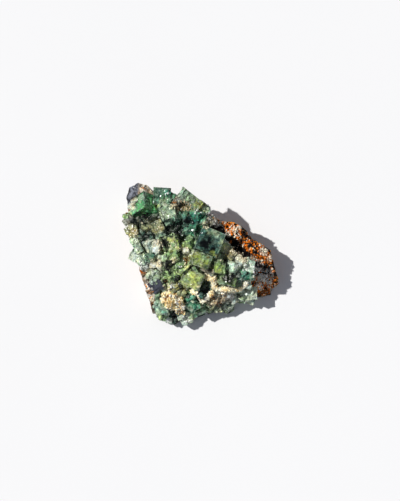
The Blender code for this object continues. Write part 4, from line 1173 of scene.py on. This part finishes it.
def cube_tint(points, place, tone, generator):
    """Tint of one cube: from its middle to its edges, in bands along the faces, painted shade low down.

    A point's reach is the second largest of its three offsets: 0 in the middle of a face, 1 at its
    edges. Each face has its own gain, noise warms and cools the tint, and a painted highlight makes
    the edges pale.
    """
    middle, edge, frost = tone
    size = np.abs(place)
    reach = np.sort(size, axis=1)[:, 1]
    axis = np.argmax(size, axis=1)
    face = 2 * axis + (place[np.arange(len(place)), axis] > 0.0)
    bands = 0.5 + 0.5 * np.sin(reach * generator.uniform(7.0, 15.0) + generator.uniform(0.0, TAU))
    share = smooth((reach - 0.3) / 0.65)[:, None]
    tint = middle * (1.0 - share) + edge * share
    tint = tint * ((0.84 + 0.3 * bands) * generator.uniform(0.6, 1.5, 6)[face])[:, None]
    patches = cloud(points + generator.uniform(0.0, 60.0, 3), 2.2, 71)
    fine = cloud(points + generator.uniform(0.0, 60.0, 3), 0.75, 72)
    hue = np.array((1.0, 1.0, 1.0)) + patches[:, None] * np.array((0.26, 0.04, -0.16))
    tint = tint * hue * (1.0 + 0.35 * patches + 0.35 * fine)[:, None]
    # painted highlight: a broken pale line along the cube's edges
    painted_edge_highlight = smooth((reach - 0.88) / 0.08) * (0.5 + 0.5 * cloud(points, 1.3, 73)) * (0.3 + 0.5 * frost)
    tint = tint + painted_edge_highlight[:, None] * (PALE_EDGE_HIGHLIGHT - tint)
    # painted shade: darker and less frosted towards the cube's foot
    depth = painted_foot_shade(points)
    return np.column_stack((np.clip(tint * depth[:, None], 0.0, BRIGHTEST), frost * depth))


def painted_foot_shade(points):
    """Painted shade at a crystal's foot: most below the crust's top, none well above it or at the rim."""
    x, y, z = points.T
    at_rim = 1.0 - smooth(path_distance(CRUST_OUTLINE, x, y) / RIM_WIDTH)
    above = z - crust_top(x, y) + RIM_LIFT * at_rim
    return FOOT_DARK + (1.0 - FOOT_DARK) * smooth((above + 0.4) / FOOT_RISE)


def near_tones(x, y, tones):
    """Tone and frost between the cubes: the mean of all cubes.

    A cube at distance d weighs 1 over the square of (d squared plus 1).
    """
    heads = np.array([(row[1], row[2]) for row in CUBES])
    kinds = [tone_of(tones, row[0]) for row in CUBES]
    weight = 1.0 / ((heads[:, 0] - x[:, None]) ** 2 + (heads[:, 1] - y[:, None]) ** 2 + 1.0) ** 2
    weight /= weight.sum(axis=1, keepdims=True)
    return weight @ np.array([kind[0] for kind in kinds]), weight @ np.array([kind[2] for kind in kinds])


def named_cubes(settings, tones):
    """Every named cube: its tone's name, its points, faces and tint, and its turn, sides and centre.

    Its terraces are lower where its shortest side is under 5 mm.
    """
    for number, (tone, x, y, edge, rise, habit, heading, lean, towards) in enumerate(CUBES):
        generator = np.random.default_rng(500 + number)
        sides = np.array(edge if isinstance(edge, tuple) else (edge,) * 3, float)
        turn = turned(habit, heading, lean, towards)
        step = settings.step / MM * min(1.0, float(sides.min()) / 5.0)
        points, faces, place = crystal(sides, generator, step, settings.rounding / MM, settings.etch / MM)
        centre = np.array((x, y, float(crust_top(x, y)) + rise - np.abs(turn[2]) @ sides / 2.0))
        points = points @ turn.T + centre
        tint = cube_tint(points, place, tone_of(tones, tone), generator)
        yield tone, (points, [faces], tint), (turn, sides, centre)


def parallel_growth(turn, sides, centre, tone, count, generator):
    """Small cubes that grow on a cube in its own setting, each at a random place of a random face."""
    place = generator.uniform(-1.0, 1.0, (count, 3))
    axis = generator.integers(0, 3, count)
    place[np.arange(count), axis] = np.sign(place[np.arange(count), axis])
    edge = generator.uniform(*GROWTH_EDGES, (count, 1)) * min(GROWTH_SIDE, sides.min())
    size = edge * generator.uniform(0.75, 1.25, (count, 3))
    places = place * (sides / 2.0 - 0.65 * size) @ turn.T + centre
    turns = np.repeat(turn[None], count, axis=0)
    points, faces, owner = scatter(CUBELET, places, turns, size, generator)
    middle, edge, frost = tone
    gain = generator.uniform(*GROWTH_GAINS, (count, 1))
    mix = generator.uniform(0.0, 1.0, (count, 1))
    tint = (middle * mix + edge * (1.0 - mix)) * gain
    # painted shade: the grown cubes are darker towards their foot
    depth = painted_foot_shade(points)
    tint = np.clip(tint[owner] * depth[:, None], 0.0, BRIGHTEST)
    return points, faces, np.column_stack((tint, frost * depth))


def ground_under(x, y):
    """Heights of the specimen's surface under these places, in millimetres; none where there is floor."""
    scene, heights = bpy.context.scene, np.full(len(x), np.nan)
    graph = bpy.context.evaluated_depsgraph_get()
    down = Vector((0.0, 0.0, -1.0))
    for at, (px, py) in enumerate(zip(x, y)):
        hit, place, _, _, obj, _ = scene.ray_cast(graph, Vector((px, py, RAY_HEIGHT)) * MM, down)
        if hit and obj.name != "floor":
            heights[at] = place.z / MM
    return heights


def unfrosted(tint):
    """Tints with a last column of 0, for minerals that have no frost."""
    return np.column_stack((tint, np.zeros(len(tint))))


class SPECIMEN_OT_rock(bpy.types.Operator):
    """Makes the broken rock with its flat underside"""

    bl_idname = "specimen.rock"
    bl_label = "Rock"

    def execute(self, context):
        settings = context.scene.specimen.rock
        points, faces, height = rock_surface(settings.relief / MM)
        tint = rock_tint(points, height, settings)
        make_piece("rock", points, faces, tint, rock_finish(settings), ("matrix_rock",))
        return {"FINISHED"}


class SPECIMEN_OT_crust(bpy.types.Operator):
    """Makes the massive crust that shows in the gaps, painted near black there as shade"""

    bl_idname = "specimen.crust"
    bl_label = "Crust"

    def execute(self, context):
        settings, tones = context.scene.specimen.fluorite, context.scene.specimen.tones
        points, faces, relief = crust_surface()
        near, frost = near_tones(points[:, 0], points[:, 1], tones)
        # painted shade: near black where the crust lies low, towards its neighbours' tones where it is raised
        light = smooth(0.45 + 0.9 * relief + 0.7 * cloud(points, 1.7, 65))[:, None]
        tint = np.array(settings.crust) * (1.0 - light) + 0.9 * near * light
        tint = patched(points, np.column_stack((tint, frost)), CRYSTAL_PATCHES)
        finish = mineral_finish("massive_fluorite_look", 0.35, 0.4, 700.0, 0.3)
        make_piece("crust", points, faces, tint, finish.material, ("fluorite_crust",))
        return {"FINISHED"}


class SPECIMEN_OT_cubes(bpy.types.Operator):
    """Grows the named cubes, stepped and rounded, in pieces of like finish"""

    bl_idname = "specimen.cubes"
    bl_label = "Large cubes"

    def execute(self, context):
        settings, tones = context.scene.specimen.fluorite, context.scene.specimen.tones
        finishes = {
            kind: fluorite_finish(f"{kind}_fluorite_look", *looks)
            for kind, (_, *looks) in CRYSTAL_KINDS.items()
        }
        kind_of = {tone: kind for kind, (members, *_) in CRYSTAL_KINDS.items() for tone in members}
        pieces = {kind: [] for kind in CRYSTAL_KINDS}
        generator = np.random.default_rng(77)
        for tone, cube, setting in named_cubes(settings, tones):
            growth = parallel_growth(*setting, tone_of(tones, tone), settings.parallel, generator)
            pieces[kind_of[tone]] += [cube, growth]
        for kind, parts in pieces.items():
            points, faces, tint = join(parts)
            tint = patched(points, tint, CRYSTAL_PATCHES)
            make_piece(f"{kind}_crystals", points, faces, tint, finishes[kind])
        return {"FINISHED"}


class SPECIMEN_OT_small_cubes(bpy.types.Operator):
    """Fills the gaps with small cubes in the tone of their neighbours"""

    bl_idname = "specimen.small_cubes"
    bl_label = "Small cubes"

    def execute(self, context):
        settings, tones = context.scene.specimen.fluorite, context.scene.specimen.tones
        generator = np.random.default_rng(91)
        (low_x, low_y), (high_x, high_y) = np.min(CRUST_OUTLINE, axis=0), np.max(CRUST_OUTLINE, axis=0)
        x = generator.uniform(low_x, high_x, SMALL_TRIES)
        y = generator.uniform(low_y, high_y, SMALL_TRIES)
        free = inside(CRUST_OUTLINE, x, y)
        for width, _, path in DRUSE_PATCH + DRUSE_VEIN:
            free &= path_distance(path, x, y) > 0.5 * width
        x, y = x[free][: settings.small], y[free][: settings.small]
        count = len(x)
        size = generator.uniform(*SMALL_EDGES, (count, 1)) * generator.uniform(0.8, 1.2, (count, 3))
        places = np.column_stack((x, y, crust_top(x, y) + generator.uniform(*SMALL_HEIGHTS, count)))
        turns = turns_from(generator, count, SMALL_TILT)
        points, faces, owner = scatter(CUBELET, places, turns, size, generator)
        colours, frosts = near_tones(x, y, tones)
        dark = generator.random(count) < SMALL_DARK
        gain = np.where(dark, SMALL_DARK_GAIN, generator.uniform(*SMALL_GAINS, count))
        pale = generator.random(count) < SMALL_PALE
        tint = np.where(pale[:, None], PALE_EDGE_HIGHLIGHT, colours * gain[:, None])
        tint = np.column_stack((np.clip(tint, 0.0, BRIGHTEST), frosts))[owner]
        tint = patched(points, tint, CRYSTAL_PATCHES)
        material = fluorite_finish("small_fluorite_look", *SMALL_LOOKS)
        make_piece("small_crystals", points, faces, tint, material)
        return {"FINISHED"}


def rib_surface(width, rise, path, lumpy, seed):
    """A lumpy rib: an ellipse carried along a path over the crust, its width falling off at the ends.

    The centre at share t of the path lies rise above the crust. A ring's point at angle a is the
    centre, plus half the width times cos a to the side, plus the height times sin a upwards. Below
    the centre, the height is what reaches into the crust. Noise moves the points out and in.
    """
    along = max(10, int(RIB_RINGS * math.dist(path[0], path[-1])))
    stations = np.linspace(0.0, 1.0, len(path))
    t = np.linspace(0.0, 1.0, along)
    x, y = (np.interp(t, stations, values) for values in zip(*path))
    ahead = np.column_stack((np.gradient(x), np.gradient(y)))
    ahead /= np.linalg.norm(ahead, axis=1, keepdims=True)
    fade = np.sqrt(np.clip(1.0 - np.abs(2.0 * t - 1.0) ** 6, 0.02, 1.0))
    angle = np.arange(RIB_POINTS) * TAU / RIB_POINTS
    across = np.outer(0.5 * width * fade, np.cos(angle))
    wave = np.sin(angle)
    lift = np.outer(fade, wave * np.where(wave > 0.0, RIB_HEIGHT, rise + RIB_ROOT))
    base = crust_top(x, y)[:, None] + rise
    sideways = x[:, None] - ahead[:, 1, None] * across, y[:, None] + ahead[:, 0, None] * across
    points = np.stack((*sideways, base + lift), axis=-1).reshape(-1, 3)
    outward = points - np.repeat(np.column_stack((x, y, base[:, 0])), RIB_POINTS, axis=0)
    outward /= np.linalg.norm(outward, axis=1, keepdims=True)
    uneven = lumpy * (0.6 * cloud(points, 1.5, seed) + 0.4 * cloud(points, 0.8, seed + 1))
    points = points + outward * uneven[:, None]
    ends = np.array(((x[0], y[0], base[0, 0]), (x[-1], y[-1], base[-1, 0])))
    return np.concatenate((points, ends)), closed_grid(along, RIB_POINTS), outward


def druse_tint(settings, places, generator, honeyed, holed):
    """Colour of druse at each place: cream, with shares of honey, of white and of brown hollows."""
    cream, honey, white = (np.array(c) for c in (settings.cream, settings.honey, settings.white))
    pick = generator.random(len(places)) + 0.45 * cloud(places, 3.2, 82)
    tint = np.where((pick < honeyed)[:, None], honey, np.where((pick > 0.78)[:, None], white, cream))
    tint = tint * generator.uniform(0.88, 1.16, (len(places), 1))
    holes = cloud(places, 1.5, 83) < holed - 1.0
    return np.clip(np.where(holes[:, None], HOLLOW_BROWN, tint), 0.0, 0.98)


class SPECIMEN_OT_druse(bpy.types.Operator):
    """Grows the cream ribs and their blades in the patch and along the vein"""

    bl_idname = "specimen.druse"
    bl_label = "Cream druse"

    def execute(self, context):
        settings = context.scene.specimen.druse
        material = mineral_finish("cream_druse_look", 0.5, 0.12, 900.0, darkest=1.0).material
        for name, (seed, ribs, honeyed, holed, longest) in DRUSES.items():
            generator = np.random.default_rng(seed)
            pieces = []
            for number, (width, rise, path) in enumerate(ribs):
                lumpy, rib_seed = 0.45 * longest, 100 + 10 * seed + number
                points, faces, outward = rib_surface(width, rise, path, lumpy, rib_seed)
                tint = druse_tint(settings, points, generator, honeyed, holed)
                pieces.append((points, faces, unfrosted(tint)))
                reach = sum(math.dist(a, b) for a, b in zip(path, path[1:])) + width
                count = int(settings.blades * width * reach)
                pick = generator.choice(np.flatnonzero(outward[:, 2] > -0.1), count)
                places = points[pick] + outward[pick] * generator.uniform(-0.2, 0.35, (count, 1))
                long = generator.uniform(BLADE_LEAST, longest, count)
                size = np.column_stack((long * BLADE_WIDTH, long * BLADE_THICKNESS, long))
                turns = turns_from(generator, count, BLADE_TILT)
                points, faces, owner = scatter(BLADE, places, turns, size, generator, 0.15)
                tint = druse_tint(settings, places, generator, honeyed, holed)[owner]
                pieces.append((points, faces, unfrosted(tint)))
            points, faces, tint = join(pieces)
            body = f"cream_druse_{name}"
            make_piece(f"druse_{name}", points, faces, tint, material, (body,))
        return {"FINISHED"}


class SPECIMEN_OT_galena(bpy.types.Operator):
    """Makes the dark metallic cube of galena with its cleavage steps"""

    bl_idname = "specimen.galena"
    bl_label = "Galena"

    def execute(self, context):
        generator = np.random.default_rng(3)
        turn = turned(FLAT, GALENA_HEADING, GALENA_LEAN, GALENA_TOWARDS)
        sides = np.full(3, GALENA_EDGE)
        points, faces, _ = crystal(sides, generator, GALENA_STEP, GALENA_ROUNDING, GALENA_ETCH)
        x, y = GALENA_CENTRE
        z = float(crust_top(x, y)) + GALENA_RISE - np.abs(turn[2]) @ sides / 2.0
        points = points @ turn.T + (x, y, z)
        shade = (0.8 + 0.3 * cloud(points, 1.4, 85))[:, None]
        finish = mineral_finish("galena_look", 0.6, 0.05, 900.0)
        finish.plain(Metallic=0.6)
        tint = unfrosted(GALENA_TINT * shade)
        make_piece("galena", points, [faces], tint, finish.material, ("galena_cube",))
        return {"FINISHED"}


class SPECIMEN_OT_grains(bpy.types.Operator):
    """Strews grains over the bare flank, and the specks and quartz points between the cubes"""

    bl_idname = "specimen.grains"
    bl_label = "Grains"

    def execute(self, context):
        settings = context.scene.specimen.rock
        self.flank_grains(settings)
        self.spots()
        return {"FINISHED"}

    def flank_grains(self, settings):
        """Grains at random places of the flank, in rust, black and cream."""
        generator = np.random.default_rng(15)
        x = generator.uniform(*GRAIN_X, GRAIN_TRIES)
        y = generator.uniform(*GRAIN_Y, GRAIN_TRIES)
        shrunk = tuple((GRAIN_OUTLINE_SHARE * a, GRAIN_OUTLINE_SHARE * b) for a, b in ROCK_OUTLINE)
        free = inside(shrunk, x, y) & ~inside(CRUST_OUTLINE, x, y) & (past_flank(x, y) > 0.0)
        x, y = x[free][: settings.grains], y[free][: settings.grains]
        count = len(x)
        size = generator.uniform(*GRAIN_EDGES, (count, 1)) * generator.uniform(0.7, 1.3, (count, 3))
        places = np.column_stack((x, y, rock_top(x, y) + generator.uniform(-0.5, 0.25, count)))
        turns = turns_from(generator, count, GRAIN_TILT)
        points, faces, owner = scatter(GRAIN, places, turns, size, generator, 0.25)
        pick = generator.random(count)[:, None]
        rust = np.array(settings.rust)
        tint = np.where(pick < GRAIN_DARK_TO, 0.3 * rust, rust)
        tint = np.where(pick < GRAIN_BLACK_TO, GRAIN_BLACK, tint)
        tint = np.where(pick > GRAIN_CREAM_FROM, GRAIN_CREAM, tint)
        tint = patched(places, unfrosted(tint), ROCK_PATCHES) * generator.uniform(0.75, 1.25, (count, 1))
        tint = np.clip(tint, 0.0, BRIGHTEST)[owner]
        material = mineral_finish("flank_grains_look", 0.65, 0.1, 900.0, 0.2, 0.6).material
        make_piece("flank_grains", points, faces, tint, material)

    def spots(self):
        """Specks and quartz points in their listed places, standing on what lies under them."""
        generator = np.random.default_rng(19)
        forms = {"black": CUBELET, "olive": CUBELET, "white": QUARTZ, "grey": QUARTZ}
        pieces = []
        for kind, x, y, radius, number in SPOTS:
            count = int(SPOT_FACTOR * number)
            away = radius * np.sqrt(generator.random(count))
            heading = generator.uniform(0.0, TAU, count)
            px, py = x + away * np.cos(heading), y + away * np.sin(heading)
            size = generator.uniform(*SPOT_EDGES, (count, 1)) * generator.uniform(0.6, 1.2, (count, 3))
            ground = ground_under(px, py)
            found = np.isfinite(ground)
            px, py, ground, size = px[found], py[found], ground[found], size[found]
            count = len(px)
            places = np.column_stack((px, py, ground + generator.uniform(-0.3, 0.1, count)))
            turns = turns_from(generator, count, SPOT_TILT)
            form = forms.get(kind, BLADE)
            points, faces, owner = scatter(form, places, turns, size, generator, 0.12)
            tint = np.array(SPOT_COLOURS[kind]) * generator.uniform(0.65, 1.2, (count, 1))
            pieces.append((points, faces, unfrosted(np.clip(tint, 0.0, BRIGHTEST)[owner])))
        points, faces, tint = join(pieces)
        material = mineral_finish("speck_look", 0.4, 0.08, 1100.0, darkest=0.7).material
        make_piece("specks", points, faces, tint, material)


class SPECIMEN_OT_stage(bpy.types.Operator):
    """Sets the pale floor, the light and the camera above the specimen"""

    bl_idname = "specimen.stage"
    bl_label = "Stage"

    def execute(self, context):
        settings, scene = context.scene.specimen.stage, context.scene
        self.floor(scene, settings)
        self.light(scene, settings)
        self.camera(scene, settings)
        return {"FINISHED"}

    def floor(self, scene, settings):
        """A square floor in two hardly different tones."""
        mesh = bpy.data.meshes.new("floor")
        corners = [(FLOOR_REACH * a, FLOOR_REACH * b, 0.0) for a, b in ((-1, -1), (1, -1), (1, 1), (-1, 1))]
        mesh.from_pydata(corners, (), ((0, 1, 2, 3),))
        finish = Finish("floor_look")
        tones = tuple(0.985 * c for c in settings.floor), tuple(settings.floor)
        shade = ramp(finish.tree, finish.noise(3.0, 2.0), ((0.3, tones[0]), (0.7, tones[1])))
        finish.wire(shade, "Base Color")
        finish.plain(Roughness=0.9, Specular_IOR_Level=0.1)
        mesh.materials.append(finish.material)
        floor = bpy.data.objects.new("floor", mesh)
        scene.collection.objects.link(floor)

    def light(self, scene, settings):
        """A hard key light from the upper left, and pale light from all round."""
        lamp = bpy.data.lights.new("key", "SUN")
        lamp.energy, lamp.angle, lamp.color = settings.sun_strength, settings.sun_size, KEY_COLOUR
        key = bpy.data.objects.new("key", lamp)
        key.rotation_euler = Vector(KEY_FROM).to_track_quat("Z", "Y").to_euler()
        scene.collection.objects.link(key)
        world = bpy.data.worlds.new("sky")
        world.use_nodes = True
        background = world.node_tree.nodes["Background"]
        background.inputs["Color"].default_value = (*settings.sky, 1.0)
        background.inputs["Strength"].default_value = settings.sky_strength
        scene.world = world

    def camera(self, scene, settings):
        """A long lens straight above, as far off as shows the view's height."""
        view = bpy.data.cameras.new("view")
        view.lens, view.sensor_width = settings.lens, SENSOR
        view.clip_start, view.clip_end = 0.01, 20.0
        camera = bpy.data.objects.new("view", view)
        x, y, z = VIEW_CENTRE
        camera.location = (x * MM, y * MM, z * MM + settings.lens / SENSOR * VIEW_HEIGHT * MM)
        scene.collection.objects.link(camera)
        scene.camera = camera
        scene.view_settings.view_transform = "Standard"
        scene.view_settings.look = "None"


class SPECIMEN_PT_panel(bpy.types.Panel):
    """Lists the pieces of the specimen"""

    bl_idname = "SPECIMEN_PT_panel"
    bl_label = "Fluorite specimen"
    bl_space_type = "VIEW_3D"
    bl_region_type = "UI"
    bl_category = "Fluorite"

    def draw(self, context):
        settings = context.scene.specimen
        for kind in OPERATORS:
            self.layout.operator(kind.bl_idname)
        for group in (settings.tones, settings.fluorite, settings.rock, settings.druse, settings.stage):
            column = self.layout.box().column()
            for name in group.__annotations__:
                column.prop(group, name)


GROUPS = (FluoriteTones, FluoriteSettings, RockSettings, DruseSettings, StageSettings, SpecimenSettings)
OPERATORS = (
    SPECIMEN_OT_stage, SPECIMEN_OT_rock, SPECIMEN_OT_crust, SPECIMEN_OT_cubes, SPECIMEN_OT_small_cubes,
    SPECIMEN_OT_druse, SPECIMEN_OT_galena, SPECIMEN_OT_grains,
)
CLASSES = (*GROUPS, *OPERATORS, SPECIMEN_PT_panel)


def register():
    for kind in CLASSES:
        bpy.utils.register_class(kind)
    bpy.types.Scene.specimen = PointerProperty(type=SpecimenSettings)


def unregister():
    del bpy.types.Scene.specimen
    for kind in reversed(CLASSES):
        bpy.utils.unregister_class(kind)


def main():
    register()
    bpy.ops.specimen.stage()
    bpy.ops.specimen.rock()
    bpy.ops.specimen.crust()
    bpy.ops.specimen.cubes()
    bpy.ops.specimen.small_cubes()
    bpy.ops.specimen.druse()
    bpy.ops.specimen.galena()
    bpy.ops.specimen.grains()


if __name__ == "__main__":
    main()
